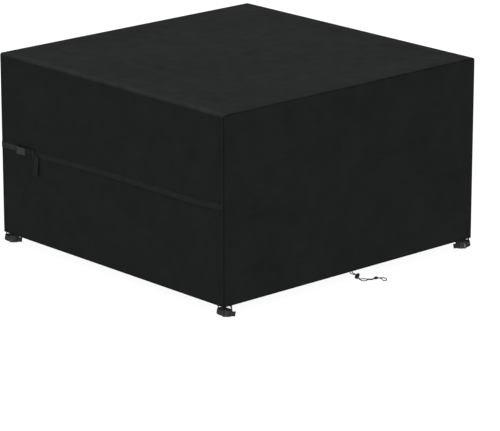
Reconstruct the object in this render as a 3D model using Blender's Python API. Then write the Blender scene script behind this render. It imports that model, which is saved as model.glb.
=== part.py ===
"""Square fitted cover for patio furniture, as it hangs taut over the set that it hides.

One strip of cloth runs up the front, over the top and down the back, with a soft fold
where it passes each top edge. Two side cloths are sewn to it. A webbing belt with an
adjuster buckle crosses the front, a buckled webbing loop hangs from the hem at each
corner for a furniture leg, and the hem's drawcord comes out at the right through a lock.

Origin: middle of the underside of the top. +Z up, front (the belt's side) at -Y.
"""

import math

import bmesh
import bpy
from mathutils import Matrix, Vector

# Cloth, all sizes in metres
WIDE = 1.350
DEEP = 1.350
TALL = 0.750
CLOTH = 0.0015
HEM_TALL = 0.028
HEM_THICK = 0.0030
FOLD_ROUND = 0.010
EDGE_ROUND = 0.005
SEAM_TURN = 0.0019
SEAM_DEPTH = 0.004
GAP = 0.0003
TOP = CLOTH
HEM = TOP - TALL
TOP_SAG = 0.002

# Where the drawcord leaves the hem of the right cloth
OUTLET_Y = -0.0043
OUTLET_THICK = 0.0050
OUTLET_REACH = 0.016
OUTLET_TALL = 0.012

# Belt across the front: band of the cloth that it holds flat, and its own line
BELT_WIDE = 0.025
BELT_FLAT = (0.333, 0.405)
BELT_FADE = 0.07
BELT_DROP_COLUMNS = ("from_left_edge", "below_top")
BELT_DROP = (
    (0.000, 0.3800),
    (0.250, 0.3797),
    (0.620, 0.3680),
    (1.220, 0.3660),
    (1.350, 0.3570),
)
BELT_BUCKLE_AT = 0.160
BELT_FOLD_BACK = 0.012
TAIL_AT = 0.0600
TAIL_COLUMNS = ("below_belt", "sideways", "stand_off")
TAIL = (
    (0.003, 0.0000, 0.0000),
    (0.018, 0.0002, 0.0003),
    (0.034, -0.0003, 0.0012),
    (0.048, -0.0010, 0.0026),
    (0.061, -0.0015, 0.0044),
    (0.0735, -0.0016, 0.0064),
)

# Adjustable side-release buckles. Lengths run from the middle towards the plug's end.
BUCKLE_COLUMNS = (
    "half_length", "mouth", "width", "low", "high", "webbing_wide", "webbing_thick",
    "bar", "bar_slot", "shoulder", "slot_one", "centre_bar", "slot_two", "frame",
    "descent", "pocket", "window_low", "window_high", "bevel",
)
BUCKLES = {
    "belt": (
        0.057, 0.005, 0.033, 0.0006, 0.0112, 0.025, 0.0015,
        0.0040, 0.0050, 0.0070, 0.0050, 0.0100, 0.0245, 0.0035,
        0.0070, 0.0390, -0.0270, -0.0110, 0.0009,
    ),
    "corner": (
        0.0185, 0.002, 0.025, 0.0006, 0.0090, 0.020, 0.0012,
        0.0025, 0.0030, 0.0030, 0.0030, 0.0030, 0.0045, 0.0026,
        0.0015, 0.0125, -0.0085, -0.0025, 0.0,
    ),
}

# Corner loops: a webbing ring round a furniture leg, hung from the hem by two tabs
LEG_INSET = 0.025
RING_ROUND = 0.02925
RING_DROP = 0.027
RING_TILT = 9.5
RING_BUCKLE_OUT = 0.0228
RING_FOLD_BACK = (44, 50, 56, 62)
RING_STEP = 14
STUB = 0.016
TAB_WIDE = 0.010
TAB_THICK = 0.0015
TAB_RISE = 0.019
TAB_ROUND = 0.0268
TAB_CLEAR = 0.0042
TAB_SHORT = 0.0030
CORNER_COLUMNS = (
    "name", "side_x", "side_y", "faces", "plug_side",
    "wall_a", "along_a", "ring_a", "wall_b", "along_b", "ring_b",
)
CORNERS = (
    ("front_left", -1, -1, -20, 1, "y", 0.016, -125, "y", 0.073, 30),
    ("front_right", 1, -1, -20, 1, "y", 0.038, -118, "x", 0.038, 30),
    ("back_right", 1, 1, -58, -1, "x", 0.016, 41, "x", 0.067, -108),
    ("back_left", -1, 1, 160, 1, "y", 0.038, 62, "x", 0.038, 210),
)

# Drawcord, its lock and its knot
CORD = 0.0035
CORD_STEP = 0.0055
LOCK_AT = (0.0030, 0.0239, 0.0246)
LOCK_CORD_WAY = (0.06, 0.72, -0.69)
LOCK_AXIS = (0.0, 0.69, 0.72)
STRAND_APART = 0.0039
BARREL_ROUND = 0.00775
BARREL_LOW = -0.0100
BARREL_HIGH = 0.0080
BORE_ROUND = 0.0057
BORE_LOW = -0.0082
BUTTON_ROUND = 0.0054
BUTTON_LOW = -0.0039
BUTTON_HIGH = 0.0132
BUTTON_TRAVEL = 0.004
FLOOR = 0.04425
KNOT_AT = (0.0330, 0.0985)
KNOT_LONG = 0.0190
KNOT_WIDE = 0.0105
KNOT_TALL = 0.0085
KNOT_TURN = 76
ROUTE_COLUMNS = ("outward", "along", "below_hem")
INNER_ROUTE = (
    (-0.0025, -0.0097, 0.0009),
    (-0.0025, -0.0092, 0.0042),
    (-0.0024, -0.0050, 0.0080),
    (-0.0016, 0.0040, 0.0125),
    "lock",
    (0.0000, 0.0362, 0.0365),
    (-0.0040, 0.0440, 0.0432),
    (-0.0058, 0.0530, FLOOR),
    (-0.0028, 0.0620, FLOOR),
    (0.0040, 0.0675, FLOOR),
    (0.0115, 0.0705, FLOOR),
    (0.0155, 0.0760, FLOOR),
    (0.0205, 0.0805, FLOOR),
    (0.0255, 0.0830, FLOOR - 0.0008),
    (0.0279, 0.0860, FLOOR - 0.0018),
    (0.0288, 0.0896, FLOOR - 0.0026),
)
OUTER_ROUTE = (
    (-0.0025, 0.0012, 0.0009),
    (-0.0021, 0.0017, 0.0040),
    (0.0010, 0.0048, 0.0080),
    (0.0035, 0.0100, 0.0120),
    "lock",
    (0.0062, 0.0350, 0.0370),
    (0.0100, 0.0400, 0.0435),
    (0.0165, 0.0440, FLOOR),
    (0.0225, 0.0510, FLOOR),
    (0.0222, 0.0590, FLOOR),
    (0.0172, 0.0660, FLOOR),
    (0.0205, 0.0722, FLOOR),
    (0.0268, 0.0755, FLOOR),
    (0.0308, 0.0800, FLOOR - 0.0008),
    (0.0321, 0.0845, FLOOR - 0.0018),
    (0.0326, 0.0887, FLOOR - 0.0026),
)
BIGHT_ROUTE = (
    (0.0334, 0.1083, FLOOR - 0.0026),
    (0.0343, 0.1128, FLOOR - 0.0016),
    (0.0345, 0.1195, FLOOR),
    (0.0375, 0.1268, FLOOR),
    (0.0450, 0.1313, FLOOR),
    (0.0545, 0.1308, FLOOR),
    (0.0635, 0.1263, FLOOR),
    (0.0708, 0.1190, FLOOR),
    (0.0740, 0.1112, FLOOR),
    (0.0715, 0.1060, FLOOR),
    (0.0655, 0.1055, FLOOR),
    (0.0575, 0.1100, FLOOR),
    (0.0490, 0.1155, FLOOR),
    (0.0425, 0.1163, FLOOR),
    (0.0388, 0.1126, FLOOR - 0.0014),
    (0.0372, 0.1074, FLOOR - 0.0026),
)

# Grid of the cloth
WALL_ROWS = (0.012, 0.0265, 0.0295, 0.125, 0.235, 0.345, 0.417, 0.525, 0.640)
TOP_COLUMNS = (0.0, 0.11, 0.22, 0.33, 0.44, 0.55, 0.645)
HEM_TAPER = 0.008
ARC_STEPS = 2
FOLD_STEPS = 4

# Soft unevenness of each face: height of a wave, its turns across and up, its phase
WAVE_COLUMNS = ("face", "height", "across", "along", "phase")
WAVES = (
    ("top", 0.0016, 0.9, 1.3, 0.4),
    ("top", 0.0011, 1.9, -0.8, 2.1),
    ("front", 0.0018, 1.2, 0.6, 1.0),
    ("front", 0.0012, 2.3, -1.1, 0.3),
    ("right", 0.0020, 1.1, 0.8, 2.6),
    ("right", 0.0012, 2.1, 1.2, 0.9),
    ("back", 0.0018, 1.3, -0.7, 0.2),
    ("back", 0.0012, 2.2, 1.0, 1.7),
    ("left", 0.0020, 1.0, 0.9, 1.9),
    ("left", 0.0011, 2.2, -1.0, 0.6),
)
WAVE_EDGE = 0.22

# Colours in linear values, roughness, metallic
FINISHES = {
    "cover_cloth": ((0.0150, 0.0170, 0.0165), 0.80, 0.0),
    "belt_webbing": ((0.0190, 0.0180, 0.0185), 0.75, 0.0),
    "strap_webbing": ((0.0170, 0.0175, 0.0180), 0.75, 0.0),
    "buckle_plastic": ((0.0160, 0.0160, 0.0165), 0.38, 0.0),
    "cord_braid": ((0.0150, 0.0150, 0.0155), 0.80, 0.0),
    "lock_plastic": ((0.0120, 0.0120, 0.0125), 0.35, 0.0),
}


def clear_scene():
    for old in list(bpy.data.objects):
        bpy.data.objects.remove(old, do_unlink=True)


def finish(name):
    """The named material, made on first use."""
    found = bpy.data.materials.get(name)
    if found:
        return found
    colour, roughness, metallic = FINISHES[name]
    made = bpy.data.materials.new(name)
    made.use_nodes = True
    shader = made.node_tree.nodes["Principled BSDF"]
    shader.inputs["Base Color"].default_value = (*colour, 1.0)
    shader.inputs["Roughness"].default_value = roughness
    shader.inputs["Metallic"].default_value = metallic
    made.diffuse_color = (*colour, 1.0)
    return made


def smooth_step(value):
    held = min(1.0, max(0.0, value))
    return held * held * (3 - 2 * held)


def lerp_table(rows, at):
    """Second column of a two-column table at a value of its first."""
    for (low, first), (high, second) in zip(rows, rows[1:]):
        if at <= high:
            return first + (second - first) * max(0.0, at - low) / (high - low)
    return rows[-1][1]


class Shell:
    """Faces given by their corner points. Corners that coincide are shared."""

    def __init__(self):
        self.index = {}
        self.points = []
        self.faces = []

    def corner(self, point):
        key = tuple(round(value, 6) for value in point)
        if key not in self.index:
            self.index[key] = len(self.points)
            self.points.append(tuple(point))
        return self.index[key]

    def face(self, *points):
        found = []
        for point in points:
            number = self.corner(point)
            if number not in found:
                found.append(number)
        if len(found) > 2:
            self.faces.append(found)

    def tube(self, rings):
        """Closed tube through rings of as many points each, with a cap at both ends."""
        for first, second in zip(rings, rings[1:]):
            for number in range(len(first)):
                after = (number + 1) % len(first)
                self.face(first[number], first[after], second[after], second[number])
        self.face(*rings[0])
        self.face(*rings[-1])

    def build(self, name, material, smooth=35):
        mesh = bpy.data.meshes.new(name)
        mesh.from_pydata(self.points, [], self.faces)
        return finished(name, mesh, material, smooth)


def finished(name, mesh, material, smooth=35):
    """An object of a closed mesh, with its faces turned outwards and shaded smooth."""
    work = bmesh.new()
    work.from_mesh(mesh)
    bmesh.ops.recalc_face_normals(work, faces=work.faces)
    work.to_mesh(mesh)
    work.free()
    mesh.shade_smooth()
    mesh.set_sharp_from_angle(angle=math.radians(smooth))
    mesh.materials.clear()
    mesh.materials.append(finish(material))
    mesh.name = name
    made = bpy.data.objects.new(name, mesh)
    bpy.context.scene.collection.objects.link(made)
    return made


# ------------------------------------------------------------------ cloth


def edge_section(thick):
    """A cloth's edge as it turns into a seam, as (outer, inner) pairs of (inward, deep).

    inward is measured from the cover's edge in the plane of the cloth, deep from its
    outer face. The cloth rounds by 45 degrees, turns into the seam and stands inside.
    """
    shift = math.sqrt(2) * (SEAM_TURN + GAP / 2)
    centre = Vector((EDGE_ROUND + shift, EDGE_ROUND))
    radii = (EDGE_ROUND, EDGE_ROUND - thick)
    pairs = []
    for step in range(2 * ARC_STEPS + 1):
        if step <= ARC_STEPS:
            angle = math.radians(45) * step / ARC_STEPS
        else:
            angle = math.radians(45 + 90 * (step - ARC_STEPS) / ARC_STEPS)
        if step == ARC_STEPS + 1:
            inner_way = Vector((math.sqrt(0.5), math.sqrt(0.5)))
            centre = centre - inner_way * (EDGE_ROUND - SEAM_TURN)
            radii = (SEAM_TURN, SEAM_TURN - thick)
        way = Vector((-math.sin(angle), -math.cos(angle)))
        pairs.append((centre + way * radii[0], centre + way * radii[1]))
    into = Vector((math.sqrt(0.5), math.sqrt(0.5))) * SEAM_DEPTH
    pairs.append((pairs[-1][0] + into, pairs[-1][1] + into))
    return pairs


def rim_stations(columns):
    """The line of a side seam as (y, z, normal y, normal z): back hem, top, front hem."""
    half = DEEP / 2
    rows = [HEM] + [HEM + rise for rise in WALL_ROWS] + [TOP - FOLD_ROUND]
    stations = [(half, z, 1.0, 0.0) for z in rows]
    for side in (1, -1):
        turns = range(1, FOLD_STEPS)
        if side < 0:
            stations += [(y, TOP, 0.0, 1.0) for y in reversed(columns)]
            turns = reversed(turns)
        for step in turns:
            angle = math.radians(90) * step / FOLD_STEPS
            y, z = math.cos(angle), math.sin(angle)
            stations.append((
                side * (half - FOLD_ROUND + FOLD_ROUND * y),
                TOP - FOLD_ROUND + FOLD_ROUND * z, side * y, z,
            ))
    stations += [(-half, z, -1.0, 0.0) for z in reversed(rows)]
    return stations


def across_columns(extra=()):
    """Positions from one end to the other of the flat part of a face."""
    end = WIDE / 2 - FOLD_ROUND
    right = [value for value in TOP_COLUMNS if value > 0] + [end]
    return sorted([-value for value in right] + [0.0] + right + list(extra))


def unevenness(face, across, along):
    """How far the cloth stands out, for a place from -1 to 1 both ways on its face."""
    height = -TOP_SAG if face == "top" else 0.0
    for name, tall, turns_across, turns_along, phase in WAVES:
        if name == face:
            turn = math.pi * (turns_across * across + turns_along * along)
            height += tall * math.sin(turn + phase)
    for place in (across, along):
        height *= smooth_step((1 - abs(place)) / WAVE_EDGE)
    return height


def top_lift(x, y):
    return unevenness("top", x / (WIDE / 2 - FOLD_ROUND), y / (DEEP / 2 - FOLD_ROUND))


def wall_lift(face, across, z):
    """Unevenness of an upright face. The belt holds the front flat where it crosses."""
    tall = (TOP - FOLD_ROUND - HEM) / 2
    height = unevenness(face, across / (WIDE / 2 - FOLD_ROUND), (z - HEM - tall) / tall)
    if face == "front":
        low, high = TOP - BELT_FLAT[1], TOP - BELT_FLAT[0]
        away = max(low - z, z - high, 0.0)
        height *= smooth_step(away / BELT_FADE)
    return height


def hem_thickness(z, from_rim):
    """Cloth is double in the hem, and single again where it runs into a seam."""
    if z > HEM + HEM_TALL:
        return CLOTH
    share = min(1.0, max(0.0, from_rim / HEM_TAPER))
    return CLOTH + (HEM_THICK - CLOTH) * share


def main_cloth():
    """Front, top and back in one strip."""
    stations = rim_stations(across_columns())
    half = WIDE / 2
    section = edge_section(CLOTH)
    columns = [(-1, pair, None) for pair in reversed(section)]
    columns += [(0, None, x) for x in across_columns()]
    columns += [(1, pair, None) for pair in section]

    def place(station, column, inner):
        y, z, normal_y, normal_z = station
        side, pair, x = column
        if side:
            inward, deep = pair[1] if inner else pair[0]
            x = side * (half - inward)
        else:
            deep = 0.0
            if abs(normal_z) > 0.999:
                lift = top_lift(x, y)
            elif abs(normal_y) > 0.999:
                lift = wall_lift("front" if y < 0 else "back", x, z)
            else:
                lift = 0.0
            deep -= lift
            if inner:
                from_rim = half - FOLD_ROUND - abs(x)
                upright = abs(normal_y) > 0.999
                deep += hem_thickness(z, from_rim) if upright else CLOTH
        return (x, y - deep * normal_y, z - deep * normal_z)

    shell = Shell()
    add_grid(shell, stations, columns, place)
    return shell.build("main_cloth", "cover_cloth")


def add_grid(shell, stations, columns, place):
    """Both faces of a sheet over a grid, and the strips that close its four edges."""
    for first, second in zip(stations, stations[1:]):
        for left, right in zip(columns, columns[1:]):
            for inner in (False, True):
                shell.face(
                    place(first, left, inner), place(first, right, inner),
                    place(second, right, inner), place(second, left, inner),
                )
        for column in (columns[0], columns[-1]):
            shell.face(
                place(first, column, False), place(second, column, False),
                place(second, column, True), place(first, column, True),
            )
    for station in (stations[0], stations[-1]):
        for left, right in zip(columns, columns[1:]):
            shell.face(
                place(station, left, False), place(station, right, False),
                place(station, right, True), place(station, left, True),
            )


def side_cloth(name, side, extra):
    """Right or left cloth: a flat middle, and an edge that follows the seam round it."""
    columns = across_columns(extra)
    half = WIDE / 2
    rows = [HEM] + [HEM + rise for rise in WALL_ROWS] + [TOP - FOLD_ROUND]
    face = "right" if side > 0 else "left"
    shell = Shell()

    def middle(y, z, inner):
        lift = wall_lift(face, y, z)
        deep = -lift
        if inner:
            thick = hem_thickness(z, half - FOLD_ROUND - abs(y))
            if extra and z < HEM + OUTLET_TALL + GAP:
                near = math.exp(-(((y - OUTLET_Y) / OUTLET_REACH) ** 4))
                thick += (OUTLET_THICK - HEM_THICK) * near
            deep += thick
        return (side * (half - deep), y, z)

    for low, high in zip(rows, rows[1:]):
        for left, right in zip(columns, columns[1:]):
            for inner in (False, True):
                shell.face(
                    middle(left, low, inner), middle(right, low, inner),
                    middle(right, high, inner), middle(left, high, inner),
                )
    for left, right in zip(columns, columns[1:]):
        shell.face(
            middle(left, HEM, False), middle(right, HEM, False),
            middle(right, HEM, True), middle(left, HEM, True),
        )

    def edge(station, pair, inner):
        y, z, normal_y, normal_z = station
        inward, deep = pair[1] if inner else pair[0]
        return (side * (half - deep), y - inward * normal_y, z - inward * normal_z)

    flat = (Vector((FOLD_ROUND, 0.0)), Vector((FOLD_ROUND, CLOTH)))
    pairs = [flat] + edge_section(CLOTH)
    stations = rim_stations(columns)
    for first, second in zip(stations, stations[1:]):
        for near, far in zip(pairs, pairs[1:]):
            for inner in (False, True):
                shell.face(
                    edge(first, near, inner), edge(second, near, inner),
                    edge(second, far, inner), edge(first, far, inner),
                )
        shell.face(
            edge(first, pairs[-1], False), edge(second, pairs[-1], False),
            edge(second, pairs[-1], True), edge(first, pairs[-1], True),
        )
    for station in (stations[0], stations[-1]):
        for near, far in zip(pairs, pairs[1:]):
            shell.face(
                edge(station, near, False), edge(station, far, False),
                edge(station, far, True), edge(station, near, True),
            )
    return shell.build(name, "cover_cloth")


# ------------------------------------------------------------------ webbing


def rounded(corners, closed=False, step=30):
    """Corners (a, b, radius) of a line, each rounded by an arc that its sides leave room for."""
    points = []
    count = len(corners)
    for number, (a, b, radius) in enumerate(corners):
        here = Vector((a, b))
        at_end = not closed and number in (0, count - 1)
        if at_end or radius <= 0:
            points.append(here)
            continue
        before = Vector(corners[number - 1][:2]) - here
        after = Vector(corners[(number + 1) % count][:2]) - here
        room = 0.45 * min(before.length, after.length)
        before.normalize()
        after.normalize()
        turn = math.pi - before.angle(after)
        reach = min(room, radius * math.tan(turn / 2))
        radius = reach / math.tan(turn / 2)
        middle = (before + after).normalized() * (radius / math.cos(turn / 2))
        centre = here + middle
        start = here + before * reach - centre
        way = 1 if before.x * after.y - before.y * after.x < 0 else -1
        steps = max(1, math.ceil(math.degrees(turn) / step))
        for part in range(steps + 1):
            spun = Matrix.Rotation(way * turn * part / steps, 2) @ start
            points.append(centre + spun)
    return points


def strip_rings(line, thick, place, wide):
    """Cross-sections of webbing whose middle follows a line in a plane."""
    rings = []
    for number, here in enumerate(line):
        before = line[max(0, number - 1)]
        after = line[min(len(line) - 1, number + 1)]
        first = (here - before).normalized() if number else (after - here).normalized()
        last = (after - here).normalized() if number < len(line) - 1 else first
        along = (first + last).normalized()
        square = Vector((-along.y, along.x))
        share = max(0.5, along.dot(first))
        out = square * (thick / 2 / share)
        rings.append([
            place(here + out, -wide / 2), place(here + out, wide / 2),
            place(here - out, wide / 2), place(here - out, -wide / 2),
        ])
    return rings


def levels(kit):
    """Heights over the cloth, or out from the leg, at which webbing passes a buckle."""
    thick = kit["webbing_thick"]
    frame_low = 3 * GAP + 2 * thick
    bar_low = 2 * GAP + thick
    bar_thick = kit["frame"] * 0.9
    return {
        "load": GAP + thick / 2,
        "tail": 2 * GAP + thick * 1.5,
        "frame_low": frame_low,
        "frame_high": frame_low + kit["frame"],
        "over": frame_low + kit["frame"] + GAP + thick / 2,
        "bar_low": bar_low,
        "bar_high": bar_low + bar_thick,
        "over_bar": bar_low + bar_thick + GAP + thick / 2,
        "bend": thick / 2 + 0.0004,
    }


def ladder_line(kit):
    """Corners of the webbing from the plug's inner slot, over its bar, to the end bar."""
    height = levels(kit)
    thick = kit["webbing_thick"]
    slot = kit["mouth"] + kit["shoulder"] + kit["slot_one"]
    bar = slot + kit["centre_bar"]
    rise = slot - GAP - thick / 2
    drop = bar + GAP + thick / 2
    bend = height["bend"]
    return [
        (rise, height["load"], bend),
        (rise, height["over"], bend),
        (drop, height["over"], bend),
        (drop + kit["descent"], height["tail"], bend),
    ]


def kit_of(name):
    return dict(zip(BUCKLE_COLUMNS, BUCKLES[name]))


def belt_height(x):
    return TOP - lerp_table(BELT_DROP, x + WIDE / 2)


def belt_place(point, across):
    """Place on the front of a point (along, out) of the belt's section."""
    x = BELT_BUCKLE_AT - WIDE / 2 + point[0]
    return (x, -DEEP / 2 - point[1], belt_height(x) + across)


def seam_wrap(level, side):
    """The belt's end, round the cover's edge to the seam, as (along, out) points."""
    centre = EDGE_ROUND + math.sqrt(2) * (SEAM_TURN + GAP / 2)
    points = []
    for angle in (40, 27, 14, 0):
        way = math.radians(angle)
        inward = centre - (EDGE_ROUND + level) * math.sin(way)
        out = (EDGE_ROUND + level) * math.cos(way) - EDGE_ROUND
        x = side * (WIDE / 2 - inward)
        points.append((x - (BELT_BUCKLE_AT - WIDE / 2), out, 0))
    return points


def belt_short():
    """From the left seam to the socket's bar, round it and back over itself."""
    kit = kit_of("belt")
    height = levels(kit)
    half = kit["half_length"]
    thick = kit["webbing_thick"]
    turn = -half + kit["bar"] + GAP + thick / 2
    back = -half - GAP - thick / 2
    corners = seam_wrap(height["load"], -1)
    corners += [
        (turn, height["load"], height["bend"]),
        (turn, height["over_bar"], height["bend"]),
        (back, height["over_bar"], height["bend"]),
        (back - 0.004, height["tail"], 0.003),
        (-half - BELT_FOLD_BACK, height["tail"], 0),
    ]
    rings = strip_rings(rounded(corners), thick, belt_place, BELT_WIDE)
    shell = Shell()
    shell.tube(rings)
    return shell.build("belt_short", "belt_webbing")


def belt_long():
    """From the right seam through the plug's ladder, and down as a loose end.

    The loose end leaves under the plug's end bar and is folded over on the diagonal,
    so it hangs straight down in front of the belt.
    """
    kit = kit_of("belt")
    height = levels(kit)
    thick = kit["webbing_thick"]
    corners = seam_wrap(height["load"], 1)
    for share in (1.2, 1.0, 0.8, 0.62, 0.45, 0.3):
        corners.append((share - BELT_BUCKLE_AT, height["load"], 0))
    corners += ladder_line(kit)
    corners.append((TAIL_AT - 0.001, height["tail"], 0))
    rings = strip_rings(rounded(corners), thick, belt_place, BELT_WIDE)
    x = BELT_BUCKLE_AT - WIDE / 2 + TAIL_AT
    middle = belt_height(x)
    level = height["tail"]
    top = Vector((x, -DEEP / 2 - level, middle + BELT_WIDE / 2))
    bottom = Vector((x + BELT_WIDE, -DEEP / 2 - level, middle - BELT_WIDE / 2))
    out = Vector((0.0, -1.0, 0.0))
    away = Vector((1.0, 0.0, 1.0)).normalized()
    tight = (thick + GAP) / 2
    for turn in (0, 45, 90, 135, 180):
        angle = math.radians(turn)
        shift = away * tight * math.sin(angle) + out * tight * (1 - math.cos(angle))
        normal = out * math.cos(angle) - away * math.sin(angle)
        rings.append(flat_ring(bottom + shift, top + shift, normal, thick))
    folded = level + 2 * tight
    low_edge = middle - BELT_WIDE / 2
    line = [
        Vector((x + sideways, -DEEP / 2 - folded - stand, low_edge - below))
        for below, sideways, stand in TAIL
    ]
    wide = Vector((BELT_WIDE, 0.0, 0.0))
    for number, here in enumerate(line):
        ahead = line[min(number + 1, len(line) - 1)]
        behind = line[max(number - 1, 0)]
        normal = wide.cross(ahead - behind).normalized()
        if normal.y < 0:
            normal.negate()
        rings.append(flat_ring(here + wide, here, normal, thick))
    shell = Shell()
    shell.tube(rings)
    return shell.build("belt_long", "belt_webbing")


def flat_ring(left, right, normal, thick):
    """Four corners of a webbing section between its two edges."""
    half = normal * (thick / 2)
    return [tuple(p) for p in (left + half, right + half, right - half, left - half)]


# ------------------------------------------------------------------ buckles


def outline_solid(name, loops, low, high, soften, material):
    """A plate of a closed outline, the first loop, and its holes, with its edges bevelled."""
    curve = bpy.data.curves.new(name, "CURVE")
    curve.dimensions = "2D"
    curve.fill_mode = "BOTH"
    curve.extrude = (high - low) / 2 - soften
    curve.bevel_depth = soften
    curve.bevel_resolution = 0
    curve.offset = -soften
    for loop in loops:
        spline = curve.splines.new("POLY")
        spline.points.add(len(loop) - 1)
        spline.use_cyclic_u = True
        for point, (a, b) in zip(spline.points, loop):
            point.co = (a, b, 0.0, 1.0)
    helper = bpy.data.objects.new(name, curve)
    mesh = bpy.data.meshes.new_from_object(helper)
    bpy.data.objects.remove(helper)
    bpy.data.curves.remove(curve)
    work = bmesh.new()
    work.from_mesh(mesh)
    bmesh.ops.remove_doubles(work, verts=work.verts, dist=1e-6)
    bmesh.ops.translate(work, verts=work.verts, vec=(0.0, 0.0, (low + high) / 2))
    work.to_mesh(mesh)
    work.free()
    return finished(name, mesh, material)


def box(name, low, high):
    """A plain box between two corners, as a helper for a cut or a join."""
    mesh = bpy.data.meshes.new(name)
    work = bmesh.new()
    bmesh.ops.create_cube(work, size=1.0)
    size = Vector(high) - Vector(low)
    middle = (Vector(high) + Vector(low)) / 2
    bmesh.ops.scale(work, verts=work.verts, vec=size)
    bmesh.ops.translate(work, verts=work.verts, vec=middle)
    work.to_mesh(mesh)
    work.free()
    made = bpy.data.objects.new(name, mesh)
    bpy.context.scene.collection.objects.link(made)
    return made


def combine(target, helpers, operation):
    """Cuts helpers from a body, or joins them to it, and removes them."""
    for helper in helpers:
        change = target.modifiers.new(helper.name, "BOOLEAN")
        change.operation = operation
        change.object = helper
        change.solver = "EXACT"
    bpy.context.view_layer.update()
    graph = bpy.context.evaluated_depsgraph_get()
    mesh = bpy.data.meshes.new_from_object(target.evaluated_get(graph))
    target.modifiers.clear()
    target.data = mesh
    for helper in helpers:
        bpy.data.objects.remove(helper, do_unlink=True)
    work = bmesh.new()
    work.from_mesh(mesh)
    bmesh.ops.remove_doubles(work, verts=work.verts, dist=1e-6)
    bmesh.ops.dissolve_degenerate(work, edges=work.edges, dist=1e-6)
    work.to_mesh(mesh)
    work.free()
    mesh.shade_smooth()
    mesh.set_sharp_from_angle(angle=math.radians(35))
    return target


def mirrored_outline(half_line):
    """A closed outline from its half with positive second values."""
    return half_line + [(a, -b, radius) for a, b, radius in reversed(half_line)]


def slot_loop(low, high, half):
    corner = min(0.0008, (high - low) / 4)
    corners = [(low, half, corner), (high, half, corner)]
    corners += [(high, -half, corner), (low, -half, corner)]
    return rounded(corners, closed=True, step=90)


def buckle_socket(name, kit, place):
    """The half with the bar and the pocket. Windows at its sides show the prongs."""
    height = levels(kit)
    half = kit["half_length"]
    wide = kit["width"] / 2
    size = kit["width"] / 0.033
    slot_half = kit["webbing_wide"] / 2 + 0.0006
    bar_end = -half + kit["bar"]
    body = bar_end + kit["bar_slot"]
    waist = (kit["window_low"] + kit["window_high"]) / 2
    outline = mirrored_outline([
        (-half, wide - 0.0008 * size, 0.002 * size),
        (kit["window_low"] - 0.004 * size, wide, 0.004 * size),
        (waist, wide - 0.0016 * size, 0.012 * size),
        (kit["window_high"] + 0.004 * size, wide, 0.004 * size),
        (kit["mouth"], wide - 0.0006 * size, 0.0015 * size),
    ])
    loops = [
        rounded(outline, closed=True),
        slot_loop(bar_end, body, slot_half),
    ]
    low, high = kit["low"], kit["high"]
    made = outline_solid(name, loops, low, high, kit["bevel"], "buckle_plastic")
    past = 0.002
    pocket_half = pocket_of(kit)
    floor = height["frame_low"] - GAP
    ceiling = height["frame_high"] + GAP
    mouth = kit["mouth"]
    cuts = [
        box("under_bar", (-half - past, -slot_half, low - past),
            (body - 0.0001, slot_half, height["bar_low"])),
        box("over_bar", (-half - past, -slot_half, height["bar_high"]),
            (body - 0.0001, slot_half, high + past)),
        box("pocket", (mouth - kit["pocket"], -pocket_half, floor),
            (mouth + past, pocket_half, ceiling)),
    ]
    for side in (-1, 1):
        edges = sorted((side * (pocket_half - past), side * (wide + past)))
        cuts.append(box(
            "window", (kit["window_low"], edges[0], floor - 0.0011 * size),
            (kit["window_high"], edges[1], ceiling + 0.0009 * size),
        ))
    combine(made, cuts, "DIFFERENCE")
    made.matrix_world = place
    return made


def pocket_of(kit):
    return kit["width"] * 0.36


def buckle_plug(name, kit, place):
    """The half with the prongs, the shoulder and the ladder that the webbing runs through."""
    height = levels(kit)
    half = kit["half_length"]
    wide = kit["width"] / 2 - 0.0006
    size = kit["width"] / 0.033
    mouth = kit["mouth"] + GAP
    arm_out = pocket_of(kit) - GAP
    arm_in = arm_out - 0.0034 * size
    low, high = kit["window_low"], kit["window_high"]
    slot = kit["mouth"] + kit["shoulder"]
    outline = mirrored_outline([
        (half, wide - 0.0006 * size, 0.0022 * size),
        (mouth, wide, 0),
        (mouth, arm_out, 0),
        (high - 0.0004, arm_out, 0),
        (high - 0.0020 * size, kit["width"] / 2 + 0.0002, 0.0014 * size),
        (low + 0.0035 * size, kit["width"] / 2 - 0.0006, 0.002 * size),
        (low + 0.0005, arm_out - 0.0002, 0),
        (low + 0.0005, arm_in, 0),
        (mouth, arm_in - 0.0002, 0),
        (mouth, 0.0026 * size, 0),
        (high - 0.004 * size, 0.0020 * size, 0.0012 * size),
    ])
    slot_half = kit["webbing_wide"] / 2 + 0.0006
    bar = slot + kit["slot_one"]
    after = bar + kit["centre_bar"]
    loops = [
        rounded(outline, closed=True, step=45),
        slot_loop(slot, bar, slot_half),
        slot_loop(after, after + kit["slot_two"], slot_half),
    ]
    made = outline_solid(
        name, loops, height["frame_low"], height["frame_high"], kit["bevel"] / 2, "buckle_plastic"
    )
    trim = 0.0008 * size
    shoulder = box(
        "shoulder", (mouth, -wide - GAP, kit["low"] + trim),
        (slot - 0.0004 * size, wide + GAP, kit["high"] - trim),
    )
    combine(made, [shoulder], "UNION")
    made.matrix_world = place
    return made


def belt_buckle():
    kit = kit_of("belt")
    x = BELT_BUCKLE_AT - WIDE / 2
    place = Matrix((
        (1, 0, 0, x),
        (0, 0, -1, -DEEP / 2),
        (0, 1, 0, belt_height(x)),
        (0, 0, 0, 1),
    ))
    buckle_socket("belt_buckle_socket", kit, place)
    buckle_plug("belt_buckle_plug", kit, place)


# ------------------------------------------------------------------ corner loops


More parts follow.
